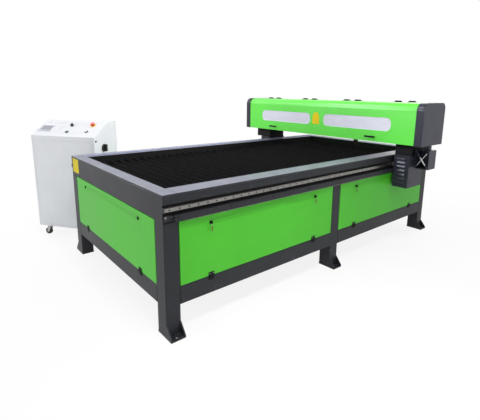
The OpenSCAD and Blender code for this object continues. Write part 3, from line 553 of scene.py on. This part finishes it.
class Coat(Enum):
    """The finishes that the machine's pieces wear."""

    BEAM = Finish(
        "charcoal_beam_coat_painted_top_highlight",
        FRAME_CHARCOAL,
        0.42,
        Grain.POWDER,
        specular=0.2,
        painted_top_highlight=PAINTED_TOP_HIGHLIGHT_GREY,
    )
    CHARCOAL = Finish("charcoal_frame_coat", FRAME_CHARCOAL, 0.42, Grain.POWDER, specular=0.2)
    RIM = Finish("grey_rim_coat", (104.0, 107.0, 124.0), 0.28, Grain.CAPPED, specular=0.4)
    GREEN = Finish("green_door_coat", (70.0, 178.0, 38.0), 0.42, Grain.POWDER, coat=0.05, specular=0.25)
    LIME = Finish("lime_hood_coat", (88.0, 230.0, 50.0), 0.45, Grain.POWDER, coat=0.7, specular=0.2)
    SLATE = Finish("slate_cover_coat", (52.0, 53.0, 65.0), 0.4, Grain.GLOSS, coat=0.22, specular=0.1)
    BLACKENED = Finish("scorched_slat_steel", (9.0, 9.0, 9.0), 0.7, Grain.SCORCHED, specular=0.08)
    # Also worn by the rail seat plates, where it is painted shade.
    LINER = Finish("sooted_wall_and_seat_shade_plate", (15.0, 15.0, 17.0), 0.68, Grain.SCORCHED, specular=0.15)
    RAIL = Finish("ground_rail_steel", (142.0, 140.0, 137.0), 0.16, Grain.GROUND, 1.0, along=ALONG_BED)
    CROSS_RAIL = Finish(
        "ground_cross_steel", (148.0, 146.0, 144.0), 0.34, Grain.GROUND, 1.0, along=ACROSS_BED
    )
    MACHINED = Finish("machined_steel", (140.0, 139.0, 138.0), 0.34, Grain.GROUND, 1.0)
    BLACK_METAL = Finish("black_metal_coat", (14.0, 14.0, 15.0), 0.5, Grain.POWDER, specular=0.12)
    NOZZLE = Finish("smoked_copper_alloy", (60.0, 44.0, 34.0), 0.4, Grain.GROUND, 0.6)
    CONSOLE = Finish("off_white_console_coat", (208.0, 210.0, 214.0), 0.45, Grain.POWDER, specular=0.12)
    BLACK_PLASTIC = Finish("black_moulding", (20.0, 20.0, 21.0), 0.42, Grain.MOULDED)
    RUBBER = Finish("black_rubber", (20.0, 20.0, 20.0), 0.72, Grain.MOULDED)
    RED = Finish("red_moulding", (204.0, 52.0, 28.0), 0.36, Grain.MOULDED, coat=0.1)
    YELLOW = Finish("yellow_moulding", (222.0, 178.0, 32.0), 0.34, Grain.MOULDED, coat=0.4)
    START = Finish("green_moulding", (30.0, 104.0, 48.0), 0.32, Grain.MOULDED, coat=0.4)
    FILM = Finish("filmed_window", (231.0, 232.0, 247.0), 0.2, Grain.FILM, coat=0.3)
    END_PATCH = Finish("plain_yellow_patch", (208.0, 189.0, 26.0), 0.5, Grain.GLOSS, specular=0.1)
    HOOD_PATCH = Finish("plain_amber_patch", (242.0, 214.0, 26.0), 0.5, Grain.GLOSS, specular=0.1)
    PALE = Finish("pale_grey_moulding", (186.0, 188.0, 194.0), 0.4, Grain.MOULDED)
    SCREEN = Finish("grey_screen", (128.0, 130.0, 140.0), 0.3, Grain.GLASS, specular=0.2)
    ZINC = Finish("zinc_plate", (176.0, 176.0, 172.0), 0.34, Grain.GROUND, 1.0)
    # Pale strips standing in for a glint: a painted highlight.
    PAINTED_GLINT = Finish("painted_glint_strip", (226.0, 226.0, 224.0), 0.5, Grain.GROUND, 0.2)
    KEY = Finish("dull_brass_key", (120.0, 100.0, 62.0), 0.5, Grain.GROUND, 0.6)


class Palette:
    """Makes each finish's material once."""

    def __init__(self) -> None:
        """Starts with no material made."""
        self._made: Dict[Coat, bpy.types.Material] = {}

    def get(self, coat: Coat) -> bpy.types.Material:
        """Gives a finish's material.

        Args:
            coat: The finish.

        Returns:
            Its material, made on the first call.
        """
        if coat not in self._made:
            self._made[coat] = coat.value.material()
        return self._made[coat]


def facing(origin: Vector, outward: Vector, upward: Vector = UP) -> Matrix:
    """Builds a frame on a surface.

    Args:
        origin: Point on the surface.
        outward: Direction of the frame's Z, out of the surface.
        upward: Direction nearest to the frame's Y.

    Returns:
        The frame as a matrix, with X to the right when seen from outside.
    """
    z = outward.normalized()
    x = upward.cross(z).normalized()
    y = z.cross(x)
    frame = Matrix((x, y, z)).transposed().to_4x4()
    frame.translation = origin
    return frame


def rounded_outline(width: float, height: float, radius: float, steps: int = 6) -> List[Point]:
    """Draws a rectangle with round corners about its middle.

    Args:
        width: Size along x.
        height: Size along y.
        radius: Corner radius.
        steps: Straight steps in each corner.

    Returns:
        The points, anticlockwise.
    """
    points: List[Point] = []
    corners = ((1, 1, 0), (-1, 1, 90), (-1, -1, 180), (1, -1, 270))
    for sx, sy, start in corners:
        cx, cy = sx * (width / 2 - radius), sy * (height / 2 - radius)
        for step in range(steps + 1):
            angle = math.radians(start + 90 * step / steps)
            points.append((cx + radius * math.cos(angle), cy + radius * math.sin(angle)))
    return points


def ring(radius: float, z: float, segments: int) -> List[Vector]:
    """Draws a circle about the Z axis.

    Args:
        radius: Its radius.
        z: Its height.
        segments: Steps round it.

    Returns:
        Its points.
    """
    angles = [2 * math.pi * i / segments for i in range(segments)]
    return [Vector((radius * math.cos(a), radius * math.sin(a), z)) for a in angles]


def hexagon_ring(across: float, z: float, segments: int) -> List[Vector]:
    """Draws a hexagon about the Z axis, in the directions of a circle's points.

    Args:
        across: Distance between its flats.
        z: Its height.
        segments: Steps round it.

    Returns:
        Its points.
    """
    sixth = math.pi / 3
    points = []
    for i in range(segments):
        angle = 2 * math.pi * i / segments
        reach = across / 2 / math.cos((angle % sixth) - sixth / 2)
        points.append(Vector((reach * math.cos(angle), reach * math.sin(angle), z)))
    return points


class Piece:
    """A mesh under construction, in metres in the CAD frame."""

    # A screw head's parts as shares of its height or radius.
    SCREW_SIDE = 0.82
    SCREW_FACE = 0.88
    SOCKET_WIDTH = 1.05
    SOCKET_FLOOR = 0.45

    def __init__(self, name: str) -> None:
        """Starts an empty mesh."""
        self.name = name
        self.mesh = bmesh.new()

    def loft(self, frame: Matrix, loops: Sequence[Sequence[Vector]], capped: bool = True) -> None:
        """Skins a row of closed loops with the same number of points.

        Args:
            frame: Where the loops' own axes lie.
            loops: The loops, each anticlockwise seen from the last towards the first.
            capped: Whether a face closes the first and the last loop.
        """
        rows = [[self.mesh.verts.new(frame @ point) for point in loop] for loop in loops]
        count = len(rows[0])
        for lower, upper in zip(rows, rows[1:]):
            for i in range(count):
                j = (i + 1) % count
                self.mesh.faces.new((lower[i], lower[j], upper[j], upper[i]))
        if capped:
            self.mesh.faces.new(list(reversed(rows[0])))
            self.mesh.faces.new(rows[-1])

    def plate(self, frame: Matrix, outline: Sequence[Point], thickness: float, chamfer: float) -> None:
        """Adds a flat plate with a chamfered outer edge.

        Args:
            frame: Frame of the plate, its back at z = 0.
            outline: Its outline, about its own middle.
            thickness: Its thickness.
            chamfer: Size of the chamfer.
        """
        reach = max(math.hypot(x, y) for x, y in outline)
        inset = 1.0 - chamfer / reach
        loops = [
            [Vector((x, y, 0.0)) for x, y in outline],
            [Vector((x, y, thickness - chamfer)) for x, y in outline],
            [Vector((x * inset, y * inset, thickness)) for x, y in outline],
        ]
        self.loft(frame, loops)

    def turned(self, frame: Matrix, profile: Sequence[Point], segments: int = 24) -> None:
        """Adds a turned shape.

        Args:
            frame: Frame whose Z is the axis.
            profile: Radius and height of each ring, from the back to the front.
            segments: Steps round the axis.
        """
        self.loft(frame, [ring(radius, z, segments) for radius, z in profile])

    def hollow(self, frame: Matrix, profile: Sequence[Point], segments: int = 24) -> None:
        """Adds a turned ring whose profile is a closed loop.

        Args:
            frame: Frame whose Z is the axis.
            profile: Radius and height round the section.
            segments: Steps round the axis.
        """
        closed = [*profile, profile[0]]
        self.loft(frame, [ring(radius, z, segments) for radius, z in closed], capped=False)

    def socket_screw(self, frame: Matrix, radius: float, height: float, segments: int = 18) -> None:
        """Adds a screw head with a hexagon socket.

        Args:
            frame: Frame on the surface it bears on.
            radius: Radius of the head.
            height: Height of the head.
            segments: Steps round the head.
        """
        key = radius * self.SOCKET_WIDTH
        loops = [
            ring(radius, 0.0, segments),
            ring(radius, height * self.SCREW_SIDE, segments),
            ring(radius * self.SCREW_FACE, height, segments),
            hexagon_ring(key, height, segments),
            hexagon_ring(key, height * self.SOCKET_FLOOR, segments),
        ]
        self.loft(frame, loops)

    def done(self, body: str, material: bpy.types.Material) -> None:
        """Turns the mesh into an object that rides on a body.

        Args:
            body: The CAD body it moves with.
            material: Its material.
        """
        bmesh.ops.remove_doubles(self.mesh, verts=self.mesh.verts, dist=DOUBLE_GAP)
        bmesh.ops.recalc_face_normals(self.mesh, faces=self.mesh.faces)
        data = bpy.data.meshes.new(self.name)
        self.mesh.to_mesh(data)
        self.mesh.free()
        data.materials.append(material)
        data.shade_smooth()
        data.set_sharp_from_angle(angle=SHARP_ANGLE)
        made = bpy.data.objects.new(self.name, data)
        bpy.context.scene.collection.objects.link(made)
        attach(made, body)
        LOG.info("%s: %d faces on %s", self.name, len(data.polygons), body)


@dataclass
class SolidDresser:
    """Gives the CAD nodes their finishes and softens their edges."""

    nodes: Mapping[str, bpy.types.Object]
    palette: Palette
    coats: Mapping[Coat, Sequence[str]] = field(
        default_factory=lambda: {
            Coat.CHARCOAL: (
                "legs",
                "lower_rails",
                "end_beams",
                "rack_ledges",
                "cross_beam",
                "carriage_plate",
            ),
            Coat.BEAM: ("side_beams",),
            Coat.RIM: ("top_rim",),
            Coat.GREEN: ("fixed_panels", "end_door", "near_side_door", "far_side_door"),
            Coat.LIME: ("hood", "rear_cover"),
            Coat.SLATE: ("motor_covers", "drive_box", "end_caps"),
            Coat.BLACKENED: ("slats",),
            Coat.LINER: ("inner_walls", "slat_combs", "scrap_trays"),
            Coat.RAIL: ("guide_rails", "gear_racks"),
            Coat.CROSS_RAIL: ("cross_rails", "cross_rack"),
            Coat.MACHINED: (
                "guide_blocks",
                "carriage_blocks",
                "right_pinion",
                "left_pinion",
                "cross_pinion",
                "head_slide",
                "cutting_head",
            ),
            Coat.BLACK_METAL: (
                "hinge_bases",
                "end_door_fittings",
                "near_side_door_fittings",
                "far_side_door_fittings",
                "hood_hinge_bases",
                "hood_fittings",
                "drive_motors",
                "carriage_motors",
                "gantry_brackets",
            ),
            Coat.NOZZLE: ("nozzle",),
            Coat.CONSOLE: ("console_casing", "console_front"),
            Coat.FILM: ("hood_windows",),
            Coat.PALE: ("display", "stop_button"),
            Coat.BLACK_PLASTIC: ("button_collars", "selector_switch", "main_switch"),
            Coat.RUBBER: (
                "end_buffers",
                "front_left_wheel",
                "front_right_wheel",
                "rear_left_wheel",
                "rear_right_wheel",
            ),
            Coat.RED: ("emergency_stop",),
            Coat.START: ("start_button",),
            Coat.ZINC: ("left_caster_fork", "right_caster_fork", "rear_caster_forks"),
        }
    )
    soft_edges: Mapping[str, float] = field(
        default_factory=lambda: {
            "side_beams": 0.5,
            "rack_ledges": 1.0,
            "hood": 0.8,
            "top_rim": 1.2,
            "fixed_panels": 1.2,
            "end_door": 1.2,
            "near_side_door": 1.2,
            "far_side_door": 1.2,
            "end_caps": 2.0,
            "motor_covers": 0.9,
            "drive_box": 1.0,
            "gantry_brackets": 2.5,
            "console_casing": 2.0,
            "console_front": 0.8,
            "display": 1.0,
            "main_switch": 1.5,
            "selector_switch": 0.8,
            "emergency_stop": 1.5,
            "hood_fittings": 0.8,
            "drive_motors": 2.0,
            "carriage_motors": 2.0,
            "cutting_head": 1.5,
            "carriage_plate": 1.2,
            "head_slide": 1.2,
        }
    )

    def dress(self) -> None:
        """Puts a finish on every node and small bevels where sheet or tube has them."""
        for coat, names in self.coats.items():
            for name in names:
                data = self.nodes[name].data
                data.materials.clear()
                data.materials.append(self.palette.get(coat))
        for name, width in self.soft_edges.items():
            self._soften(self.nodes[name], width * MM)
        LOG.info("%d nodes dressed", sum(len(names) for names in self.coats.values()))

    @staticmethod
    def _soften(node: bpy.types.Object, width: float) -> None:
        """Adds a weld and a bevel to one node.

        Args:
            node: The CAD node's object.
            width: Width of the bevel in metres.
        """
        weld = node.modifiers.new("seams", "WELD")
        weld.merge_threshold = WELD_GAP
        bevel = node.modifiers.new("soft_edge", "BEVEL")
        bevel.width = width
        bevel.segments = BEVEL_STEPS
        bevel.limit_method = "ANGLE"
        bevel.angle_limit = BEVEL_ANGLE


@dataclass
class BedDetails:
    """Fastenings and patches on the bed and its doors.

    A screw is a radius and a height, a plate a thickness and a chamfer, an outline a width,
    a height and a corner radius.
    """

    palette: Palette
    side_doors: Sequence[Tuple[str, str]] = (
        ("near_side_door", "near_side_door"),
        ("far_side_door", "bed"),
    )
    rail_pitch: float = 60 * MM
    rail_screw: Point = (4.2 * MM, 5 * MM)
    rail_height: float = 17.5 * MM
    rail_to_strip: float = 26 * MM
    seat_corner: float = 1 * MM
    seat_plate: Point = (0.4 * MM, 0.1 * MM)
    ledge_screws: int = 9
    ledge_inset: float = 18 * MM
    ledge_drop: float = 13 * MM
    ledge_screw: Point = (5.0 * MM, 1.3 * MM)
    buffer_bolt: Triple = (17 * MM, 6 * MM, 0.8 * MM)
    buffer_spot: Triple = (10.5 * MM, 14 * MM, 14 * MM)
    patch_size: Point = (140 * MM, 112 * MM)
    patch_inset: Point = (30 * MM, 4 * MM)
    patch_corner: float = 4 * MM
    lock_inset: float = 205 * MM
    lock_drop: float = 46 * MM
    key_reach: float = 14 * MM
    key_drop: float = 9 * MM
    ring_facing: Triple = (1, 0.2, 0)
    ring_section: Sequence[Point] = ((8.0 * MM, 0), (9.0 * MM, 0.5 * MM), (9.0 * MM, -0.5 * MM))
    tag_facing: Triple = (1, 0.15, 0)
    tag_drop: float = 26 * MM
    tag_outline: Triple = (9 * MM, 34 * MM, 4 * MM)
    tag_plate: Point = (1.6 * MM, 0.4 * MM)
    hinge_offsets: Point = (-12 * MM, 12 * MM)
    hinge_leaf: Point = (2.5 * MM, 14 * MM)
    hinge_screw: Point = (3.2 * MM, 0.9 * MM)

    def build(self) -> None:
        """Adds all of the bed's small pieces."""
        self._rail_screws()
        self._rail_seat_painted_shade()
        self._ledge_screws()
        self._buffer_bolts()
        self._end_patch()
        for node, body in self.side_doors:
            self._key_tags(node, body)
        for node, body in self.side_doors:
            self._hinge_screws(node, body)

    def _rail_screws(self) -> None:
        """Socket screws down in the recesses of the guide rails."""
        low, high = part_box("guide_rails")
        bottom = high.x - self.rail_height / 2
        middle = (low.z + high.z) / 2
        piece = Piece("rail_screws")
        count = int((high.y - low.y) / self.rail_pitch)
        for side in BOTH_SIDES:
            for i in range(count):
                spot = Vector((side * bottom, low.y + (i + 0.5) * self.rail_pitch, middle))
                frame = facing(spot, Vector((side, 0, 0)))
                piece.socket_screw(frame, *self.rail_screw, segments=12)
        piece.done("bed", self.palette.get(Coat.BLACK_METAL))

    def _rail_seat_painted_shade(self) -> None:
        """Dark plates on the recessed faces above and below the guide rails: painted shade."""
        low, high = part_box("guide_rails")
        middle = (low + high) / 2
        strips = ((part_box("rack_ledges")[1].z, low.z), (high.z, middle.z + self.rail_to_strip))
        piece = Piece("rail_seat_painted_shade")
        for side in BOTH_SIDES:
            for bottom, top in strips:
                spot = Vector((side * (high.x - self.rail_height), middle.y, (bottom + top) / 2))
                frame = facing(spot, Vector((side, 0, 0)))
                outline = rounded_outline(high.y - low.y, top - bottom, self.seat_corner)
                piece.plate(frame, outline, *self.seat_plate)
        # These plates paint the shade of the recesses.
        piece.done("bed", self.palette.get(Coat.LINER))

    def _ledge_screws(self) -> None:
        """Low heads along the outer face of the rack ledges."""
        low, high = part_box("rack_ledges")
        piece = Piece("ledge_screws")
        first = low.y + self.ledge_inset
        step = (high.y - self.ledge_inset - first) / (self.ledge_screws - 1)
        for side in BOTH_SIDES:
            for i in range(self.ledge_screws):
                spot = Vector((side * high.x, first + i * step, high.z - self.ledge_drop))
                frame = facing(spot, Vector((side, 0, 0)))
                piece.socket_screw(frame, *self.ledge_screw)
        piece.done("bed", self.palette.get(Coat.BLACK_METAL))

    def _buffer_bolts(self) -> None:
        """Hexagon heads on the outer faces of the buffer brackets."""
        low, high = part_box("end_buffers")
        corners, height, chamfer = self.buffer_bolt
        outline = [(point.x, point.y) for point in ring(corners / 2, 0.0, 6)]
        x, y, rise = self.buffer_spot
        piece = Piece("buffer_bolts")
        for side in BOTH_SIDES:
            for end in BOTH_SIDES:
                spot = Vector((side * (high.x - x), end * (high.y - y), low.z + rise))
                piece.plate(facing(spot, Vector((0, end, 0))), outline, height, chamfer)
        piece.done("bed", self.palette.get(Coat.MACHINED))

    def _end_patch(self) -> None:
        """Plain patch near the left corner of the near end."""
        low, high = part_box("side_beams")
        width, height = self.patch_size
        inset, drop = self.patch_inset
        spot = Vector((low.x + inset + width / 2, low.y, high.z - drop - height / 2))
        piece = Piece("end_patch")
        frame = facing(spot, Vector((0, -1, 0)))
        outline = rounded_outline(width, height, self.patch_corner)
        piece.plate(frame, outline, *PATCH_PLATE)
        piece.done("bed", self.palette.get(Coat.END_PATCH))

    def _lock_spots(self, node: str) -> Iterable[Vector]:
        """Gives the middle of each lock's collar on a side door.

        Args:
            node: The side door's node.

        Yields:
            The middle of a collar.
        """
        low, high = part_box(node)
        for y in (low.y + self.lock_inset, high.y - self.lock_inset):
            yield Vector((high.x, y, high.z - self.lock_drop))

    def _key_tags(self, node: str, body: str) -> None:
        """Split rings with a spare key that hang from the door keys.

        Args:
            node: The side door's node.
            body: The body it rides on.
        """
        rings = Piece(f"{node}_key_rings")
        tags = Piece(f"{node}_key_tags")
        for spot in self._lock_spots(node):
            hang = spot + Vector((self.key_reach, 0, -self.key_drop))
            rings.hollow(facing(hang, Vector(self.ring_facing)), self.ring_section, segments=28)
            tag = facing(hang - UP * self.tag_drop, Vector(self.tag_facing))
            tags.plate(tag, rounded_outline(*self.tag_outline), *self.tag_plate)
        rings.done(body, self.palette.get(Coat.ZINC))
        tags.done(body, self.palette.get(Coat.KEY))

    def _hinge_screws(self, node: str, body: str) -> None:
        """Socket screws in the hung leaves of a side door's hinges.

        Args:
            node: The door's node.
            body: The body it rides on.
        """
        low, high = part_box(node)
        out, rise = self.hinge_leaf
        piece = Piece(f"{node}_hinge_screws")
        for y in (low.y + self.lock_inset, high.y - self.lock_inset):
            for offset in self.hinge_offsets:
                spot = Vector((high.x + out, y + offset, low.z + rise))
                frame = facing(spot, Vector((1, 0, 0)))
                piece.socket_screw(frame, *self.hinge_screw, segments=12)
        piece.done(body, self.palette.get(Coat.ZINC))


@dataclass
class GantryDetails:
    """Patch on the hood and painted glint strips on the drive box's guard."""

    palette: Palette
    guard_height: float = 162 * MM
    painted_glint_strips: Sequence[Triple] = (
        (124 * MM, 3.5 * MM, 8 * MM),
        (78 * MM, 8 * MM, 16 * MM),
    )
    patch_middle: Point = (-10 * MM, 1105 * MM)
    patch_size: Point = (88 * MM, 114 * MM)
    patch_top_share: float = 0.55
    patch_shoulder: float = 0.08
    strip_rounding: float = 0.49
    strip_plate: Point = (0.8 * MM, 0.2 * MM)

    def build(self) -> None:
        """Adds all of the gantry's small pieces."""
        self._hood_patch()
        self._guard()

    def _on_hood(self, x: float, z: float) -> Matrix:
        """Gives a frame on the hood's front face."""
        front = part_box("hood")[0].y
        return facing(Vector((x, front, z)), Vector((0, -1, 0)))

    def _hood_patch(self) -> None:
        """Plain yellow patch between the two windows, narrower at its top."""
        width, height = self.patch_size
        top = width * self.patch_top_share
        shoulder = height * self.patch_shoulder
        outline = [
            (-width / 2, -height / 2),
            (width / 2, -height / 2),
            (width / 2, shoulder),
            (top / 2, height / 2),
            (-top / 2, height / 2),
            (-width / 2, shoulder),
        ]
        piece = Piece("hood_patch")
        piece.plate(self._on_hood(*self.patch_middle), outline, *PATCH_PLATE)
        piece.done("hood", self.palette.get(Coat.HOOD_PATCH))

    def _guard(self) -> None:
        """Pale strips on the crossed bars of the drive box, shaped as their glint: a painted highlight."""
        low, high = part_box("drive_box")
        lean = math.atan2(self.guard_height, high.x - low.x)
        spot = Vector(((low.x + high.x) / 2, low.y, low.z + self.guard_height / 2))
        frame = facing(spot, Vector((0, -1, 0)))
        piece = Piece("painted_glint_strips")
        for side, (length, width, shift) in zip(BOTH_SIDES, self.painted_glint_strips):
            outline = rounded_outline(length, width, width * self.strip_rounding)
            along = Matrix.Rotation(side * lean, 4, "Z") @ Matrix.Translation((shift, 0, 0))
            piece.plate(frame @ along, outline, *self.strip_plate)
        piece.done("gantry", self.palette.get(Coat.PAINTED_GLINT))


@dataclass
class ConsoleDetails:
    """Screen, desk frame, surround and lock of the operator console."""

    palette: Palette
    joints: Sequence[Mapping[str, object]]
    screen_place: Point = (-232 * MM, -54 * MM)
    screen_lift: float = 3.9 * MM
    screen_outline: Triple = (112 * MM, 68 * MM, 2 * MM)
    screen_plate: Point = (1.0 * MM, 0.3 * MM)
    panel_place: Point = (-200 * MM, -32 * MM)
    panel_outer: Triple = (226 * MM, 158 * MM, 8 * MM)
    panel_inner: Triple = (216 * MM, 148 * MM, 5 * MM)
    panel_height: float = 1.2 * MM
    stop_place: Point = (206 * MM, 15.5 * MM)
    stop_profile: Sequence[Point] = (
        (15.4 * MM, 0),
        (29 * MM, 0),
        (29 * MM, 2.2 * MM),
        (27.5 * MM, 3.2 * MM),
        (15.4 * MM, 3.2 * MM),
    )
    side_lock: Point = (-111 * MM, 67 * MM)
    lock_profile: Sequence[Point] = (
        (9 * MM, 0),
        (9 * MM, 2 * MM),
        (8 * MM, 3 * MM),
        (4 * MM, 3 * MM),
        (4 * MM, 1.4 * MM),
    )

    def _joint(self, name: str) -> Mapping[str, object]:
        """Finds a joint of the frame by name."""
        return next(joint for joint in self.joints if joint["name"] == name)

    def _desk(self, place: Point) -> Matrix:
        """Gives a frame on the sloping desk.

        Args:
            place: Distance from the selector, across and up the slope.

        Returns:
            The frame, its Z out of the desk.
        """
        selector = self._joint("selector_turn")
        across = Vector(self._joint("main_switch_turn")["axis"])
        out = Vector(selector["axis"])
        up = out.cross(across)
        return facing(Vector(selector["pos_m"]) + across * place[0] + up * place[1], out, up)

    def build(self) -> None:
        """Adds all of the console's small pieces."""
        screen = Piece("screen_glass")
        spot = self._desk(self.screen_place) @ Matrix.Translation((0, 0, self.screen_lift))
        screen.plate(spot, rounded_outline(*self.screen_outline), *self.screen_plate)
        screen.done("bed", self.palette.get(Coat.SCREEN))
        self._panel_frame()
        surround = Piece("stop_surround")
        surround.hollow(self._desk(self.stop_place), self.stop_profile, segments=36)
        surround.done("bed", self.palette.get(Coat.YELLOW))
        self._side_lock()

    def _panel_frame(self) -> None:
        """Low frame round the desk panel."""
        outer = rounded_outline(*self.panel_outer)
        inner = rounded_outline(*self.panel_inner)
        top = self.panel_height
        section = ((outer, 0.0), (outer, top), (inner, top), (inner, 0.0), (outer, 0.0))
        loops = [[Vector((x, y, z)) for x, y in outline] for outline, z in section]
        piece = Piece("desk_panel_frame")
        piece.loft(self._desk(self.panel_place), loops, capped=False)
        piece.done("bed", self.palette.get(Coat.PALE))

    def _side_lock(self) -> None:
        """Small quarter-turn lock near the front edge of the right-hand side."""
        switch = self._joint("main_switch_turn")
        out = Vector(switch["axis"])
        across, rise = self.side_lock
        spot = Vector(switch["pos_m"]) + UP.cross(out) * across + UP * rise
        piece = Piece("console_side_lock")
        piece.turned(facing(spot, out), self.lock_profile)
        piece.done("bed", self.palette.get(Coat.BLACK_METAL))


TUBE_COLOUR: Colour = (0.86, 0.88, 1.0)


@dataclass(frozen=True)
class Lamp:
    """One flat soft lamp; a tube shows only in reflections."""

    name: str
    eye: Triple
    target: Triple
    size: Point
    power: float
    spread: float = math.pi
    tube: bool = False

    def build(self) -> None:
        """Adds the lamp to the scene."""
        data = bpy.data.lights.new(self.name, "AREA")
        data.shape = "RECTANGLE"
        data.size, data.size_y = self.size
        data.energy = self.power
        data.spread = self.spread
        data.color = TUBE_COLOUR if self.tube else EVEN
        lamp = bpy.data.objects.new(self.name, data)
        lamp.location = self.eye
        lamp.rotation_euler = (Vector(self.target) - Vector(self.eye)).to_track_quat("-Z", "Y").to_euler()
        lamp.visible_diffuse = not self.tube
        bpy.context.scene.collection.objects.link(lamp)


LAMPS = (
    Lamp("key_lamp", (2.8, -0.9, 5.4), (0.6, -0.5, 0.5), (0.6, 0.6), 95.0),
    Lamp("ceiling_lamp", (-1.1, -1.6, 3.9), (0.5, 0.7, 0.8), (2.4, 2.4), 26.0),
    Lamp("front_lamp", (-1.2, -6.6, 2.6), (0.0, -0.6, 0.7), (3.0, 3.0), 82.0),
    Lamp("side_lamp", (6.0, -2.6, 2.4), (0.0, -0.4, 0.6), (3.0, 3.0), 20.0),
    Lamp("left_lamp", (-5.0, -1.5, 3.2), (-0.6, 0.0, 0.6), (3.0, 3.0), 50.0),
    Lamp("door_lamp", (2.9, -2.0, 5.2), (1.35, -0.9, 0.2), (0.25, 0.25), 4.0, math.radians(28.0)),
    Lamp("back_lamp", (-0.5, 5.5, 3.6), (-0.4, 0.0, 0.7), (3.2, 3.2), 95.0),
    Lamp("console_lamp", (1.2, 1.6, 2.4), (-1.1, -1.3, 0.7), (1.0, 1.0), 11.0, math.radians(60.0)),
    Lamp("ceiling_tube", (-1.1, -1.4, 3.9), (-1.1, 0.7, 0.9), (2.6, 0.9), 130.0, tube=True),
    Lamp("front_tube", (-2.0, -4.0, 2.6), (-2.0, 0.7, 1.1), (5.0, 0.3), 300.0, tube=True),
)


@dataclass
class Studio:
    """White floor and backdrop, soft lamps and the camera."""

    eye: Triple = (2.510, -2.348, 1.348)
    yaw: float = 0.8629
    pitch: float = 0.1987
    roll: float = 0.0132
    focal_px: float = 381.9
    image: Tuple[int, int] = (480, 420)
    centre_px: Point = (251.14, 169.6)
    sensor_mm: float = 36.0
    floor_reach: float = 60.0
    world_light: float = 0.6
    far_floor: Point = (2.6, 5.0)
    shadow_share: float = 0.14
    camera_reach: float = 200.0
    lamps: Sequence[Lamp] = LAMPS

    def build(self) -> None:
        """Makes the whole studio."""
        self._camera()
        self._world()
        self._floor()
        for lamp in self.lamps:
            lamp.build()
        bpy.context.scene.view_settings.view_transform = "Standard"

    def _camera(self) -> None:
        """Places the camera at the photograph's viewpoint."""
        cy, sy = math.cos(self.yaw), math.sin(self.yaw)
        cp, sp = math.cos(self.pitch), math.sin(self.pitch)
        forward = Vector((-sy * cp, cy * cp, -sp))
        right = Vector((cy, sy, 0.0))
        up = right.cross(forward)
        cr, sr = math.cos(self.roll), math.sin(self.roll)
        turned_right = right * cr + up * sr
        turned_up = up * cr - right * sr
        data = bpy.data.cameras.new("photo_camera")
        width, height = self.image
        data.sensor_width = self.sensor_mm
        data.lens = self.focal_px / width * self.sensor_mm
        data.shift_x = (width / 2 - self.centre_px[0]) / width
        data.shift_y = (self.centre_px[1] - height / 2) / width
        data.clip_end = self.camera_reach
        camera = bpy.data.objects.new("photo_camera", data)
        rotation = Matrix((turned_right, turned_up, -forward)).transposed().to_4x4()
        rotation.translation = Vector(self.eye)
        camera.matrix_world = rotation
        bpy.context.scene.collection.objects.link(camera)
        bpy.context.scene.camera = camera

    def _world(self) -> None:
        """White to the camera and in reflections, a softer light on the object."""
        world = bpy.data.worlds.new("white_studio")
        bpy.context.scene.world = world
        shader = Shader(world)
        strength = shader.seen() * (1.0 - self.world_light) + self.world_light
        back = shader.node("ShaderNodeBackground", {}, {"Color": WHITE, "Strength": strength})
        shader.node("ShaderNodeOutputWorld", {}, {"Surface": back})

    def _floor(self) -> None:
        """White floor that keeps a faint shadow near the machine."""
        bpy.ops.mesh.primitive_plane_add(size=self.floor_reach, location=(0, 0, 0))
        floor = bpy.context.object
        floor.name = "studio_floor"
        shader = Shader(bpy.data.materials.new("studio_white"))
        radius = shader.node("ShaderNodeVectorMath", {"operation": "LENGTH"}, {0: shader.place()}, "Value")
        glowing = radius.band(*self.far_floor) * self.shadow_share + (1.0 - self.shadow_share)
        lit = shader.node("ShaderNodeBsdfDiffuse", {}, {"Color": FLOOR_GREY})
        glow = shader.node("ShaderNodeEmission", {}, {"Color": WHITE, "Strength": 1.0})
        both = shader.node("ShaderNodeMixShader", {}, {0: shader.seen() * glowing, 1: lit, 2: glow})
        shader.node("ShaderNodeOutputMaterial", {}, {"Surface": both})
        floor.data.materials.append(shader.owner)


def main() -> None:
    """Loads the frame, dresses it and sets up the studio."""
    logging.basicConfig(level=logging.INFO, format="%(message)s")
    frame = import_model()
    palette = Palette()
    SolidDresser(frame["nodes"], palette).dress()
    BedDetails(palette).build()
    GantryDetails(palette).build()
    ConsoleDetails(palette, frame["joints"]).build()
    Studio().build()


if __name__ == "__main__":
    main()
